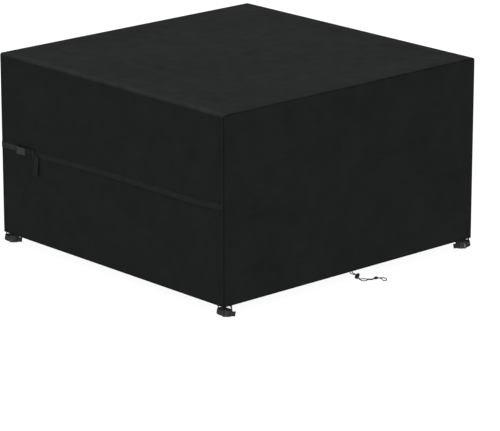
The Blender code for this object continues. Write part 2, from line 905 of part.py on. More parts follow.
def ring_matrix(corner):
    """Frame of a corner's loop: +X to its buckle, +Z up, tilted so the plug hangs low."""
    inset_x = corner["side_x"] * (WIDE / 2 - LEG_INSET)
    inset_y = corner["side_y"] * (DEEP / 2 - LEG_INSET)
    move = Matrix.Translation((inset_x, inset_y, HEM - RING_DROP))
    face = Matrix.Rotation(math.radians(corner["faces"]), 4, "Z")
    tilt = Matrix.Rotation(math.radians(-RING_TILT * corner["plug_side"]), 4, "X")
    return move @ face @ tilt


def ring_line(kit):
    """Middle line of a loop's webbing: stub, ladder, round the leg, bar and fold-back."""
    height = levels(kit)
    half = kit["half_length"]
    thick = kit["webbing_thick"]
    ladder = [(RING_BUCKLE_OUT + h, s, bend) for s, h, bend in ladder_line(kit)]
    tail = RING_BUCKLE_OUT + height["tail"]
    line = [
        (tail + 0.0012, half + STUB, 0),
        (tail + 0.0004, half + STUB * 0.6, 0),
        (tail, half + 0.0015, 0.004),
    ]
    line += reversed(ladder)
    line.append((RING_BUCKLE_OUT + height["load"], 0.0160, 0.006))
    for angle in range(46, 315, RING_STEP):
        way = math.radians(angle)
        line.append((RING_ROUND * math.cos(way), RING_ROUND * math.sin(way), 0))
    turn = -half + kit["bar"] + GAP + thick / 2
    over = RING_BUCKLE_OUT + height["over_bar"]
    line += [
        (RING_BUCKLE_OUT + height["load"], turn, height["bend"]),
        (over, turn, height["bend"]),
        (over, -half - GAP - thick / 2, height["bend"]),
    ]
    outer = RING_ROUND + thick + GAP
    for angle in RING_FOLD_BACK:
        way = math.radians(-angle)
        line.append((outer * math.cos(way), outer * math.sin(way), 0))
    return line


def corner_loop(corner):
    kit = kit_of("corner")
    frame = ring_matrix(corner)
    mirror = corner["plug_side"]
    name = "strap_" + corner["name"]

    def place(point, across):
        return tuple(frame @ Vector((point[0], mirror * point[1], across)))

    rings = strip_rings(
        rounded(ring_line(kit)), kit["webbing_thick"], place, kit["webbing_wide"]
    )
    shell = Shell()
    shell.tube(rings)
    shell.build(name + "_webbing", "strap_webbing")
    lay = Matrix((
        (0, 0, 1, RING_BUCKLE_OUT),
        (mirror, 0, 0, 0),
        (0, mirror, 0, 0),
        (0, 0, 0, 1),
    ))
    buckle_socket(name + "_buckle_socket", kit, frame @ lay)
    buckle_plug(name + "_buckle_plug", kit, frame @ lay)
    for letter in ("a", "b"):
        hem_tab(name + "_tab_" + letter, corner, letter, frame)


def hem_tab(name, corner, letter, frame):
    """Short webbing, flat behind the hem at its top and flat inside the loop below."""
    wall, along = corner["wall_" + letter], corner["along_" + letter]
    deep = HEM_THICK + GAP + TAB_THICK / 2
    side_x, side_y = corner["side_x"], corner["side_y"]
    if wall == "x":
        top = Vector((side_x * (WIDE / 2 - deep), side_y * (DEEP / 2 - along), 0.0))
        out = Vector((side_x, 0.0, 0.0))
    else:
        top = Vector((side_x * (WIDE / 2 - along), side_y * (DEEP / 2 - deep), 0.0))
        out = Vector((0.0, side_y, 0.0))
    turn = math.radians(corner["ring_" + letter] - corner["faces"])
    spoke = Vector((math.cos(turn), math.sin(turn), 0.0))
    reach = kit_of("corner")["webbing_wide"] / 2
    turned = frame.to_3x3() @ spoke
    if turned.dot(out) < 0:
        turned.negate()
    sections = [
        (top + Vector((0, 0, HEM + TAB_RISE)), out),
        (top + Vector((0, 0, HEM + 0.002)), out),
        (top + Vector((0, 0, HEM - 0.002)), out),
    ]
    upper = frame @ (spoke * TAB_ROUND + Vector((0, 0, reach + TAB_CLEAR)))
    lower = frame @ (spoke * TAB_ROUND + Vector((0, 0, TAB_SHORT - reach)))
    start = sections[-1][0]
    for share in (0.3, 0.65):
        eased = smooth_step(share)
        between = start.lerp(upper, share)
        between.z = start.z + (upper.z - start.z) * share ** 2
        sections.append((between, out.lerp(turned, eased).normalized()))
    sections += [(upper, turned), (lower, turned)]
    rings = []
    for number, (here, normal) in enumerate(sections):
        ahead = sections[min(number + 1, len(sections) - 1)][0]
        behind = sections[max(number - 1, 0)][0]
        wide = (ahead - behind).cross(normal).normalized() * (TAB_WIDE / 2)
        if number in (0, 1, 2):
            wide = Vector((0, 0, -1)).cross(out).normalized() * (TAB_WIDE / 2)
        rings.append(flat_ring(here - wide, here + wide, normal, TAB_THICK))
    shell = Shell()
    shell.tube(rings)
    return shell.build(name, "strap_webbing")


# ------------------------------------------------------------------ drawcord and lock


def lock_frame():
    """Frame of the cord lock: +X along the cord, +Z along the button, origin in the hole."""
    way = Vector(LOCK_CORD_WAY).normalized()
    axis = Vector(LOCK_AXIS)
    axis = (axis - way * axis.dot(way)).normalized()
    beside = axis.cross(way)
    outward, along, below = LOCK_AT
    centre = Vector((WIDE / 2 + outward, along, HEM - below))
    frame = Matrix((way, beside, axis)).transposed().to_4x4()
    return Matrix.Translation(centre) @ frame


def turned(name, profile, material, sides=20):
    """A solid turned about Z from a profile of (radius, height), from axis to axis."""
    shell = Shell()
    rings = []
    for radius, height in profile:
        ring = []
        for number in range(sides):
            angle = 2 * math.pi * number / sides
            ring.append((radius * math.cos(angle), radius * math.sin(angle), height))
        rings.append(ring)
    for first, second in zip(rings, rings[1:]):
        for number in range(sides):
            after = (number + 1) % sides
            shell.face(first[number], first[after], second[after], second[number])
    return shell.build(name, material)


def cord_lock():
    """Barrel with a cross hole for both strands, and a button that slides in its bore."""
    frame = lock_frame()
    half = STRAND_APART / 2 + CORD / 2 + GAP
    tall = CORD / 2 + GAP
    edge = 0.0010
    barrel = turned("lock_barrel", (
        (0.0, BARREL_LOW),
        (BARREL_ROUND - edge, BARREL_LOW),
        (BARREL_ROUND, BARREL_LOW + edge),
        (BARREL_ROUND, BARREL_HIGH - edge),
        (BARREL_ROUND - edge, BARREL_HIGH),
        (BORE_ROUND, BARREL_HIGH),
        (BORE_ROUND, BORE_LOW),
        (0.0, BORE_LOW),
    ), "lock_plastic")
    past = BARREL_ROUND * 1.5
    hole = box("hole", (-past, -half, -tall), (past, half, tall))
    combine(barrel, [hole], "DIFFERENCE")
    barrel.matrix_world = frame
    button = turned("lock_button", (
        (0.0, BUTTON_LOW),
        (BUTTON_ROUND, BUTTON_LOW),
        (BUTTON_ROUND, BUTTON_HIGH - 2 * edge),
        (BUTTON_ROUND - edge, BUTTON_HIGH - edge / 2),
        (BUTTON_ROUND / 2, BUTTON_HIGH),
        (0.0, BUTTON_HIGH),
    ), "lock_plastic")
    slot = box("slot", (-past, -half, -tall), (past, half, tall + BUTTON_TRAVEL))
    combine(button, [slot], "DIFFERENCE")
    button.matrix_world = frame


def lock_points(side):
    """Where a strand enters, passes and leaves the lock."""
    frame = lock_frame()
    points = []
    for share in (-1.25, -0.6, 0.0, 0.6, 1.25):
        local = Vector((share * BARREL_ROUND, side * STRAND_APART / 2, 0.0))
        points.append(frame @ local)
    return points


def cord_points(route, side):
    """Route points of a strand in the cover's frame, the lock's own among them."""
    points = []
    for stop in route:
        if stop == "lock":
            points += lock_points(side)
        else:
            outward, along, below = stop
            points.append(Vector((WIDE / 2 + outward, along, HEM - below)))
    return points


def smooth_line(points, spacing):
    """Points at an even spacing along a smooth curve through the given ones."""
    dense = []
    ends = [points[0] * 2 - points[1]] + points + [points[-1] * 2 - points[-2]]
    for number in range(len(points) - 1):
        before, here, ahead, beyond = ends[number:number + 4]
        leave = (ahead - before) * ((ahead - here).length / (
            (here - before).length + (ahead - here).length))
        reach = (beyond - here) * ((ahead - here).length / (
            (ahead - here).length + (beyond - ahead).length))
        for part in range(12):
            t = part / 12
            dense.append(
                here * (2 * t ** 3 - 3 * t ** 2 + 1) + leave * (t ** 3 - 2 * t ** 2 + t)
                + ahead * (-2 * t ** 3 + 3 * t ** 2) + reach * (t ** 3 - t ** 2)
            )
    dense.append(points[-1])
    lengths = [0.0]
    for first, second in zip(dense, dense[1:]):
        lengths.append(lengths[-1] + (second - first).length)
    count = max(2, round(lengths[-1] / spacing))
    line = []
    place = 0
    for number in range(count + 1):
        want = lengths[-1] * number / count
        while place < len(lengths) - 2 and lengths[place + 1] < want:
            place += 1
        span = lengths[place + 1] - lengths[place]
        line.append(dense[place].lerp(dense[place + 1], (want - lengths[place]) / span))
    return line


def cord_tube(name, points):
    """A cord as a curve with a round section and flat ends."""
    line = smooth_line(points, CORD_STEP)
    curve = bpy.data.curves.new(name, "CURVE")
    curve.dimensions = "3D"
    curve.bevel_depth = CORD / 2
    curve.bevel_resolution = 2
    curve.use_fill_caps = True
    curve.materials.append(finish("cord_braid"))
    spline = curve.splines.new("POLY")
    spline.points.add(len(line) - 1)
    for point, here in zip(spline.points, line):
        point.co = (*here, 1.0)
    spline.use_smooth = True
    made = bpy.data.objects.new(name, curve)
    bpy.context.scene.collection.objects.link(made)
    return made


def knot():
    """The overhand knot as one lump with the cord's turns showing as ridges."""
    shell = Shell()
    rings = []
    for step in range(1, 12):
        share = step / 12
        angle = math.pi * share
        body = math.sin(angle) ** 0.7
        ring = []
        for number in range(16):
            turn = 2 * math.pi * number / 16
            ridge = 1 + 0.10 * math.cos(2 * turn - 3 * math.pi * share)
            ring.append(Vector((
                -math.cos(angle) * KNOT_LONG / 2,
                math.cos(turn) * body * ridge * KNOT_WIDE / 2,
                math.sin(turn) * body * ridge * KNOT_TALL / 2,
            )))
        rings.append(ring)
    turn = Matrix.Rotation(math.radians(KNOT_TURN), 4, "Z")
    centre = (WIDE / 2 + KNOT_AT[0], KNOT_AT[1], HEM - FLOOR - CORD / 2 + KNOT_TALL * 0.55)
    frame = Matrix.Translation(centre) @ turn
    shell.tube([[tuple(frame @ point) for point in ring] for ring in rings])
    return shell.build("drawcord_knot", "cord_braid", smooth=60)


clear_scene()
main_cloth()
side_cloth("side_cloth_right", 1, tuple(OUTLET_Y + d for d in (-0.034, -0.011, 0.011, 0.034)))
side_cloth("side_cloth_left", -1, ())
belt_short()
belt_long()
belt_buckle()
for values in CORNERS:
    corner_loop(dict(zip(CORNER_COLUMNS, values)))
cord_lock()
cord_tube("drawcord_inner", cord_points(INNER_ROUTE, 1))
cord_tube("drawcord_outer", cord_points(OUTER_ROUTE, -1))
cord_tube("drawcord_bight", cord_points(BIGHT_ROUTE, 0))
knot()
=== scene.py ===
# %% [markdown]
# # A fitted cover for patio furniture, dressed for a picture
#
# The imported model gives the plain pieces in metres: three cloths, a belt with its
# buckle, four buckled corner loops, and a drawcord with its lock. This lesson puts finer
# pieces in their places and gives each one a finish. The origin is the middle of the
# underside of the top, +Z is up, and the belt's side faces -Y.

# %% Open the frame
import math

import bmesh
import bpy
from mathutils import Matrix, Vector, noise


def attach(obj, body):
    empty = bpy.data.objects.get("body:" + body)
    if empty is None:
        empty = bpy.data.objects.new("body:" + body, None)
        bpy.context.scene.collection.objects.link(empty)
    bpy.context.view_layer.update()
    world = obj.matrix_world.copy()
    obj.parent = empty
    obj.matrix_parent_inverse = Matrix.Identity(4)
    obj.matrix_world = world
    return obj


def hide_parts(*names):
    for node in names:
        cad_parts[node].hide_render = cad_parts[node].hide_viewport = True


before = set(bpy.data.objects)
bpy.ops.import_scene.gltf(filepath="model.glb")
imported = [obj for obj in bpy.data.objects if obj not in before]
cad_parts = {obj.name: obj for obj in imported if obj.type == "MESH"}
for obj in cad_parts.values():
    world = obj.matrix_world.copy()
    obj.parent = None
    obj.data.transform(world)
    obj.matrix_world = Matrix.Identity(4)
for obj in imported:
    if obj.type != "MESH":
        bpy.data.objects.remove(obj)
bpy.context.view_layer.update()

# %% [markdown]
# ## Camera
#
# The picture looks down a little on the corner between the belt's side and the right
# side. A long lens from far away keeps the upright edges almost parallel. The camera is
# aimed with three directions, to its right, upwards and backwards, which become the
# columns of its matrix.

# %% Make the camera
CAMERA_AT = Vector((9.05704, -8.17664, 2.96888))
CAMERA_TURN = math.radians(47.672)
CAMERA_RISE = math.radians(16.601)
back = Vector((
    math.sin(CAMERA_TURN) * math.cos(CAMERA_RISE),
    -math.cos(CAMERA_TURN) * math.cos(CAMERA_RISE),
    math.sin(CAMERA_RISE),
))
to_right = Vector((math.cos(CAMERA_TURN), math.sin(CAMERA_TURN), 0.0))
upwards = back.cross(to_right)
lens = bpy.data.cameras.new("camera")
lens.sensor_width = 36.0
lens.lens = 225.6
lens.clip_end = 200.0
camera = bpy.data.objects.new("camera", lens)
camera.matrix_world = (
    Matrix.Translation(CAMERA_AT)
    @ Matrix((to_right, upwards, back)).transposed().to_4x4()
)
bpy.context.scene.collection.objects.link(camera)
bpy.context.scene.camera = camera
print("camera at", [round(v, 2) for v in CAMERA_AT], "lens", lens.lens)

# %% [markdown]
# ## Materials from nodes
#
# Every finish here is a Principled shader with a few nodes in front of it. One short
# helper adds a node and links its inputs, so that each recipe reads as a list of what
# the surface shows.


# %% Helpers for materials
def new_finish(name, roughness, specular):
    """A material, its tree and its shader, with the values that are the same all over."""
    made = bpy.data.materials.new(name)
    made.use_nodes = True
    shader = made.node_tree.nodes["Principled BSDF"]
    shader.inputs["Roughness"].default_value = roughness
    shader.inputs["Specular IOR Level"].default_value = specular
    return made, made.node_tree, shader


def add_node(tree, kind, inputs=None, **settings):
    """A node of a kind. Its inputs are given as values or as the outputs of other nodes."""
    node = tree.nodes.new(kind if "Node" in kind else "ShaderNode" + kind)
    for key, value in settings.items():
        setattr(node, key, value)
    for key, value in (inputs or {}).items():
        if isinstance(value, bpy.types.NodeSocket):
            tree.links.new(value, node.inputs[key])
        else:
            node.inputs[key].default_value = value
    return node


def feed(shader, name, value):
    """Link an output of a node to one of the shader's inputs."""
    shader.id_data.links.new(value, shader.inputs[name])


def uv_of(tree):
    """Coordinates from the piece's UV map."""
    return add_node(tree, "UVMap", uv_map="UVMap").outputs[0]


def place_of(tree):
    """The place in the piece's own space, in metres."""
    return add_node(tree, "TexCoord").outputs["Object"]


# %% Sums and tones of patterns
def maths(tree, operation, first, second=0.0):
    return add_node(tree, "Math", {0: first, 1: second}, operation=operation).outputs[0]


def times(tree, first, second):
    return maths(tree, "MULTIPLY", first, second)


def plus(tree, first, second):
    return maths(tree, "ADD", first, second)


def summed(tree, *parts):
    """The sum of several patterns, each given with its weight."""
    total, *others = [times(tree, pattern, weight) for pattern, weight in parts]
    for other in others:
        total = plus(tree, total, other)
    return total


def blend_colours(tree, share, first, second):
    """Colour between two, where the share goes from 0 to 1."""
    node = add_node(tree, "Mix", {0: share, 6: first, 7: second}, data_type="RGBA")
    return node.outputs[2]


def stretch_range(tree, value, low, high, new_low=0.0, new_high=1.0):
    return add_node(tree, "MapRange", {
        "Value": value, "From Min": low, "From Max": high,
        "To Min": new_low, "To Max": new_high,
    }).outputs[0]


def tent(tree, value, centre, reach):
    """1 at a centre, falling to 0 at a reach on either side of it."""
    away = maths(tree, "ABSOLUTE", maths(tree, "SUBTRACT", value, centre))
    return stretch_range(tree, away, 0.0, reach, 1.0, 0.0)


def tint(tree, shader, pattern, low, high, dark, light):
    """Base colour from dark to light, as a pattern goes from low to high."""
    share = stretch_range(tree, pattern, low, high)
    feed(shader, "Base Color", blend_colours(tree, share, dark, light))


# %% Patterns and relief
def place_scaled(tree, source, scale):
    """Texture coordinates stretched by three factors."""
    return add_node(tree, "Mapping", {"Vector": source, "Scale": scale}).outputs[0]


def cloud(tree, source, scale, detail=3.0, rough=0.55):
    """A noise value around 0.5."""
    node = add_node(tree, "TexNoise", {
        "Vector": source, "Scale": scale, "Detail": detail, "Roughness": rough,
    })
    return node.outputs["Fac"]


def relief(tree, shader, height, strength, distance):
    """A fine relief that bends the light, but not the mesh."""
    bump = add_node(tree, "Bump", {"Height": height, "Strength": strength, "Distance": distance})
    feed(shader, "Normal", bump.outputs[0])


def woven(tree, uv, pitch_across, pitch_along):
    """Over-and-under height of a plain weave, from a UV map in metres."""
    parts = add_node(tree, "SeparateXYZ", {"Vector": uv})
    warp = maths(tree, "SINE", times(tree, parts.outputs[0], math.tau / pitch_across))
    weft = maths(tree, "SINE", times(tree, parts.outputs[1], math.tau / pitch_along))
    return times(tree, warp, weft)


print("materials so far:", len(bpy.data.materials))

# %% [markdown]
# ## Floor and light
#
# The floor is plain and nearly white, at the height of the cord that lies on it. The
# room is an even white, so the dark cloth gets soft light from all sides. A large lamp
# overhead makes the top lighter than the sides, and a small one near the front corner
# lets the folds and the plastic there catch some light.

# %% Make the stage
FLOOR_Z = -0.7945
floor_mesh = bpy.data.meshes.new("floor")
reach = 60.0
floor_mesh.from_pydata(
    [(-reach, -reach, FLOOR_Z), (reach, -reach, FLOOR_Z),
     (reach, reach, FLOOR_Z), (-reach, reach, FLOOR_Z)], [], [(0, 1, 2, 3)],
)
floor = bpy.data.objects.new("floor", floor_mesh)
bpy.context.scene.collection.objects.link(floor)
floor_finish, tree, shader = new_finish("pale floor", 0.9, specular=0.0)
shader.inputs["Base Color"].default_value = (0.15, 0.15, 0.15, 1.0)
shader.inputs["Emission Color"].default_value = (1.0, 1.0, 1.0, 1.0)
shader.inputs["Emission Strength"].default_value = 0.95
floor_mesh.materials.append(floor_finish)

world = bpy.context.scene.world or bpy.data.worlds.new("room")
bpy.context.scene.world = world
world.use_nodes = True
world.node_tree.nodes["Background"].inputs["Color"].default_value = (1.0, 1.0, 1.0, 1.0)
world.node_tree.nodes["Background"].inputs["Strength"].default_value = 1.0
bpy.context.scene.view_settings.view_transform = "Standard"


def area_light(name, at, target, size, power):
    """A square lamp at a point, turned to face another."""
    data = bpy.data.lights.new(name, "AREA")
    data.shape = "SQUARE"
    data.size = size
    data.energy = power
    lamp = bpy.data.objects.new(name, data)
    way = Vector(at) - Vector(target)
    lamp.matrix_world = Matrix.Translation(at) @ way.to_track_quat("Z", "Y").to_matrix().to_4x4()
    bpy.context.scene.collection.objects.link(lamp)


area_light("overhead", (-0.8, 0.8, 3.4), (0.0, 0.0, 0.0), 3.0, 19.0)
area_light("corner", (1.9, -2.1, 0.3), (0.7, -0.7, -0.4), 1.2, 2.5)
print("floor at", FLOOR_Z)

# %% [markdown]
# ## Smooth lines
#
# The drawcord, the loops and the rows of stitches all follow smooth lines through a few
# points. This helper leads a curve through them and reads points from it at an even
# spacing.


# %% Helper for smooth lines
def smooth_step(value):
    held = min(1.0, max(0.0, value))
    return held * held * (3 - 2 * held)


def distances(points):
    """Distance travelled at each point of a line."""
    travelled = [0.0]
    for first, second in zip(points, points[1:]):
        travelled.append(travelled[-1] + (second - first).length)
    return travelled


def step_past(line, number):
    """From the point before one of a line's points to the point after it."""
    return line[min(number + 1, len(line) - 1)] - line[max(number - 1, 0)]


CURVE_PARTS = 12


def smooth_line(points, spacing):
    """Points at an even spacing along a smooth curve through the given ones."""
    dense = []
    ends = [points[0] * 2 - points[1]] + points + [points[-1] * 2 - points[-2]]
    for number in range(len(points) - 1):
        before, here, ahead, beyond = ends[number:number + 4]
        span = (ahead - here).length
        leave = (ahead - before) * (span / ((here - before).length + span))
        arrive = (beyond - here) * (span / (span + (beyond - ahead).length))
        for part in range(CURVE_PARTS):
            t = part / CURVE_PARTS
            dense.append(
                here * (2 * t ** 3 - 3 * t ** 2 + 1) + leave * (t ** 3 - 2 * t ** 2 + t)
                + ahead * (-2 * t ** 3 + 3 * t ** 2) + arrive * (t ** 3 - t ** 2)
            )
    dense.append(points[-1])
    lengths = distances(dense)
    count = max(2, round(lengths[-1] / spacing))
    line = []
    place = 0
    for number in range(count + 1):
        want = lengths[-1] * number / count
        while place < len(lengths) - 2 and lengths[place + 1] < want:
            place += 1
        span = lengths[place + 1] - lengths[place]
        line.append(dense[place].lerp(dense[place + 1], (want - lengths[place]) / span))
    return line


def length_of(line):
    return distances(line)[-1]


bend = smooth_line([Vector((0, 0, 0)), Vector((0.1, 0, 0)), Vector((0.1, 0.1, 0))], 0.01)
print("a bend with two sides of 0.1 m:", len(bend), "points,", round(length_of(bend), 3), "m")

# %% [markdown]
# ## The drawcord
#
# A braided cord runs through the hem and comes out at the middle of the right side. Its
# two strands pass a spring lock, part a little, and end in a knot, from which the
# folded end stands out as a loop. The cord hangs for the first few centimetres and then
# lies on the floor. Each strand is a tube whose surface follows two crossing sets of
# spirals, as a braid does.

# %% The cord's route
WIDE, DEEP, TALL, CLOTH = 1.350, 1.350, 0.750, 0.0015
TOP = CLOTH
HEM = TOP - TALL
CORD = 0.0035
LIES_AT = 0.04425
STRAND_APART = 0.0039
BARREL_ROUND = 0.00775
LOCK_AT = (0.0030, 0.0239, 0.0246)
LOCK_CORD_WAY = (0.06, 0.72, -0.69)
LOCK_AXIS = (0.0, 0.69, 0.72)
LOCK_STOPS = (-1.25, -0.6, 0.0, 0.6, 1.25)
# Each row: outward from the right cloth, along it towards the back, below the hem
INNER_ROUTE = (
    (-0.0025, -0.0097, 0.0009), (-0.0025, -0.0092, 0.0042), (-0.0024, -0.0050, 0.0080),
    (-0.0016, 0.0040, 0.0125), "lock", (0.0000, 0.0362, 0.0365), (-0.0040, 0.0440, 0.0432),
    (-0.0058, 0.0530, LIES_AT), (-0.0028, 0.0620, LIES_AT), (0.0040, 0.0675, LIES_AT),
    (0.0115, 0.0705, LIES_AT), (0.0155, 0.0760, LIES_AT), (0.0205, 0.0805, LIES_AT),
    (0.0255, 0.0830, LIES_AT - 0.0008), (0.0279, 0.0860, LIES_AT - 0.0018),
    (0.0288, 0.0896, LIES_AT - 0.0026),
)
OUTER_ROUTE = (
    (-0.0025, 0.0012, 0.0009), (-0.0021, 0.0017, 0.0040), (0.0010, 0.0048, 0.0080),
    (0.0035, 0.0100, 0.0120), "lock", (0.0062, 0.0350, 0.0370), (0.0100, 0.0400, 0.0435),
    (0.0165, 0.0440, LIES_AT), (0.0225, 0.0510, LIES_AT), (0.0222, 0.0590, LIES_AT),
    (0.0172, 0.0660, LIES_AT), (0.0205, 0.0722, LIES_AT), (0.0268, 0.0755, LIES_AT),
    (0.0308, 0.0800, LIES_AT - 0.0008), (0.0321, 0.0845, LIES_AT - 0.0018),
    (0.0326, 0.0887, LIES_AT - 0.0026),
)
LOOP_ROUTE = (
    (0.0334, 0.1083, LIES_AT - 0.0026), (0.0343, 0.1128, LIES_AT - 0.0016),
    (0.0345, 0.1195, LIES_AT), (0.0375, 0.1268, LIES_AT), (0.0450, 0.1313, LIES_AT),
    (0.0545, 0.1308, LIES_AT), (0.0635, 0.1263, LIES_AT), (0.0708, 0.1190, LIES_AT),
    (0.0740, 0.1112, LIES_AT), (0.0715, 0.1060, LIES_AT), (0.0655, 0.1055, LIES_AT),
    (0.0575, 0.1100, LIES_AT), (0.0490, 0.1155, LIES_AT), (0.0425, 0.1163, LIES_AT),
    (0.0388, 0.1126, LIES_AT - 0.0014), (0.0372, 0.1074, LIES_AT - 0.0026),
)


def lock_frame():
    """Frame of the lock: +X along the cord, +Z along the button, origin in its hole."""
    way = Vector(LOCK_CORD_WAY).normalized()
    axis = Vector(LOCK_AXIS)
    axis = (axis - way * axis.dot(way)).normalized()
    outward, along, below = LOCK_AT
    centre = Vector((WIDE / 2 + outward, along, HEM - below))
    turn = Matrix((way, axis.cross(way), axis)).transposed().to_4x4()
    return Matrix.Translation(centre) @ turn


def cord_points(route, side):
    points = []
    for stop in route:
        if stop == "lock":
            for share in LOCK_STOPS:
                local = Vector((share * BARREL_ROUND, side * STRAND_APART / 2, 0.0))
                points.append(lock_frame() @ local)
        else:
            outward, along, below = stop
            points.append(Vector((WIDE / 2 + outward, along, HEM - below)))
    return points


print("lock at", [round(v, 4) for v in lock_frame().translation])

# %% [markdown]
# The tube is built ring by ring. A frame is carried along the line so that it never
# twists, which keeps the braid straight. The UV map gives turns round the cord and
# metres along it, for the finish.

# %% Helpers for pieces and tubes
BRAID_SIDES = 24
BRAID_STEP = 0.00055
BRAID_PITCH = 0.0058
BRAID_STRANDS = 4
BRAID_DEPTH = 0.055
BRAID_SWELL = 1.03


def new_piece(name, mesh, finish, body="cover", smooth=40):
    """A finished piece of a mesh: faces outwards, smooth, with its finish and its body."""
    work = bmesh.new()
    work.from_mesh(mesh)
    bmesh.ops.recalc_face_normals(work, faces=work.faces)
    work.to_mesh(mesh)
    work.free()
    mesh.shade_smooth()
    mesh.set_sharp_from_angle(angle=math.radians(smooth))
    mesh.materials.clear()
    mesh.materials.append(finish)
    mesh.name = name
    made = bpy.data.objects.new(name, mesh)
    bpy.context.scene.collection.objects.link(made)
    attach(made, body)
    return made


def carried_frames(line):
    """Two directions square to a line at each of its points, without twist."""
    frames = []
    side = Vector((0.0, 0.0, 1.0))
    for number in range(len(line)):
        ahead = step_past(line, number).normalized()
        side = (side - ahead * side.dot(ahead)).normalized()
        frames.append((side.copy(), ahead.cross(side)))
    return frames


def braid_rings(line, radius):
    """Rings of points round a line, their radius raised where a strand of the braid lies."""
    rings = []
    for here, travelled, (side, beside) in zip(line, distances(line), carried_frames(line)):
        phase = math.tau * travelled / BRAID_PITCH
        ring = []
        for turn in range(BRAID_SIDES):
            angle = math.tau * turn / BRAID_SIDES
            one = math.cos(BRAID_STRANDS * angle + phase)
            other = math.cos(BRAID_STRANDS * angle - phase)
            raised = 1 - BRAID_DEPTH + BRAID_DEPTH * max(one, other)
            spoke = side * math.cos(angle) + beside * math.sin(angle)
            ring.append(here + spoke * radius * raised)
        rings.append((ring, travelled))
    return rings


def mesh_with_uv(name, points, faces, uvs):
    """A mesh with a UV map, given as one (u, v) for each corner of each face."""
    mesh = bpy.data.meshes.new(name)
    mesh.from_pydata(points, [], faces)
    layer = mesh.uv_layers.new(name="UVMap")
    for corner, uv in zip(layer.data, uvs):
        corner.uv = uv
    return mesh


def mesh_of_rings(name, tubes):
    """One mesh of several closed tubes, each a list of (ring, distance along)."""
    points, faces, uvs = [], [], []
    for rings in tubes:
        count = len(rings[0][0])
        base = len(points)
        for ring, _ in rings:
            points += [tuple(p) for p in ring]
        for row in range(len(rings) - 1):
            for number in range(count):
                after = (number + 1) % count
                low, high = base + row * count, base + (row + 1) * count
                faces.append((low + number, low + after, high + after, high + number))
                near, far = rings[row][1], rings[row + 1][1]
                left, right = number / count, (number + 1) / count
                uvs += [(left, near), (right, near), (right, far), (left, far)]
        for row, (ring, along) in ((0, rings[0]), (len(rings) - 1, rings[-1])):
            points.append(tuple(sum(ring, Vector()) / count))
            for number in range(count):
                after = (number + 1) % count
                start = base + row * count
                faces.append((start + number, start + after, len(points) - 1))
                uvs += [(0.0, along), (0.1, along), (0.05, along)]
    return mesh_with_uv(name, points, faces, uvs)


print("braid:", BRAID_SIDES, "points round,", BRAID_STRANDS, "strands each way")

# %% [markdown]
# The cord is black and fibrous, so its noise is stretched along the tube, and a coarser
# one gives spots of a slightly lighter black. The same finish serves the knot.

# %% Make the cords
cord_finish, tree, shader = new_finish("braided cord", 0.8, specular=0.03)
uv = uv_of(tree)
fibres = cloud(tree, place_scaled(tree, uv, (30.0, 4200.0, 1.0)), 1.0, 2.0)
spots = cloud(tree, place_of(tree), 160.0, 3.0)
tint(tree, shader, spots, 0.35, 0.65, (0.0025, 0.0025, 0.0027, 1), (0.0070, 0.0070, 0.0074, 1))
relief(tree, shader, fibres, 0.5, 0.0002)

routes = {
    "drawcord_inner": smooth_line(cord_points(INNER_ROUTE, 1), BRAID_STEP),
    "drawcord_outer": smooth_line(cord_points(OUTER_ROUTE, -1), BRAID_STEP),
    "drawcord_bight": smooth_line(cord_points(LOOP_ROUTE, 0), BRAID_STEP),
}
cords = {}
for name, line in routes.items():
    mesh = mesh_of_rings(name, [braid_rings(line, CORD / 2 * BRAID_SWELL)])
    cords[name] = new_piece(name.replace("drawcord", "cord"), mesh, cord_finish)
    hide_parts(name)
    print(name, "length", round(length_of(line), 4))

# %% [markdown]
# ## The knot
#
# Both strands run through the knot, and the cord winds round them under tension. A
# short spiral of the same braid, flattened a little, makes the turns that show.

# %% Make the knot
KNOT_AT = Vector((WIDE / 2 + 0.0330, 0.0985, HEM - LIES_AT - CORD / 2 + 0.0085 * 0.55))
KNOT_TURNS, KNOT_BEGIN, KNOT_STEPS = 3.6, 0.6, 60
KNOT_LONG, WINDING_LONG = 0.0186, 0.0128
WINDING_WIDE, WINDING_TALL, WINDING_LIFT = 0.0050, 0.0040, 0.0012
CORE_RADIUS, WINDING_RADIUS = 0.0015, 0.0016
# Each row: along the knot, half the distance between the strands, height
CORE = (
    (-KNOT_LONG / 2, 0.0019, -0.0008), (-0.005, 0.0014, 0), (0.005, 0.0014, 0),
    (KNOT_LONG / 2, 0.0019, -0.0008),
)
knot_frame = Matrix.Translation(KNOT_AT) @ Matrix.Rotation(math.radians(76), 4, "Z")
tubes = []
for side in (-1, 1):
    core = smooth_line([Vector((along, side * apart, up)) for along, apart, up in CORE], BRAID_STEP)
    tubes.append(braid_rings([knot_frame @ p for p in core], CORE_RADIUS))
winding = []
for step in range(KNOT_STEPS + 1):
    share = step / KNOT_STEPS
    angle = math.tau * KNOT_TURNS * share + KNOT_BEGIN
    swell = 0.7 + 0.3 * math.sin(math.pi * share) ** 0.5
    winding.append(knot_frame @ Vector((
        (share - 0.5) * WINDING_LONG, math.cos(angle) * WINDING_WIDE * swell,
        math.sin(angle) * WINDING_TALL * swell + WINDING_LIFT,
    )))
tubes.append(braid_rings(smooth_line(winding, BRAID_STEP), WINDING_RADIUS))
knot = new_piece("cord_knot", mesh_of_rings("cord_knot", tubes), cord_finish)
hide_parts("drawcord_knot")
print("knot of", len(knot.data.polygons), "faces")

# %% [markdown]
# ## The cloths
#
# One strip of coated cloth goes up the front, over the top and down the back, and a
# cloth is sewn to it at each side. All three are built as grids with an outer and an
# inner face, a little finer than a finger's width. At a seam each cloth rounds its edge
# and turns inwards, so the seam shows as a narrow dark line between two soft rounds.
# The two turned edges press on each other, so that no light comes through.

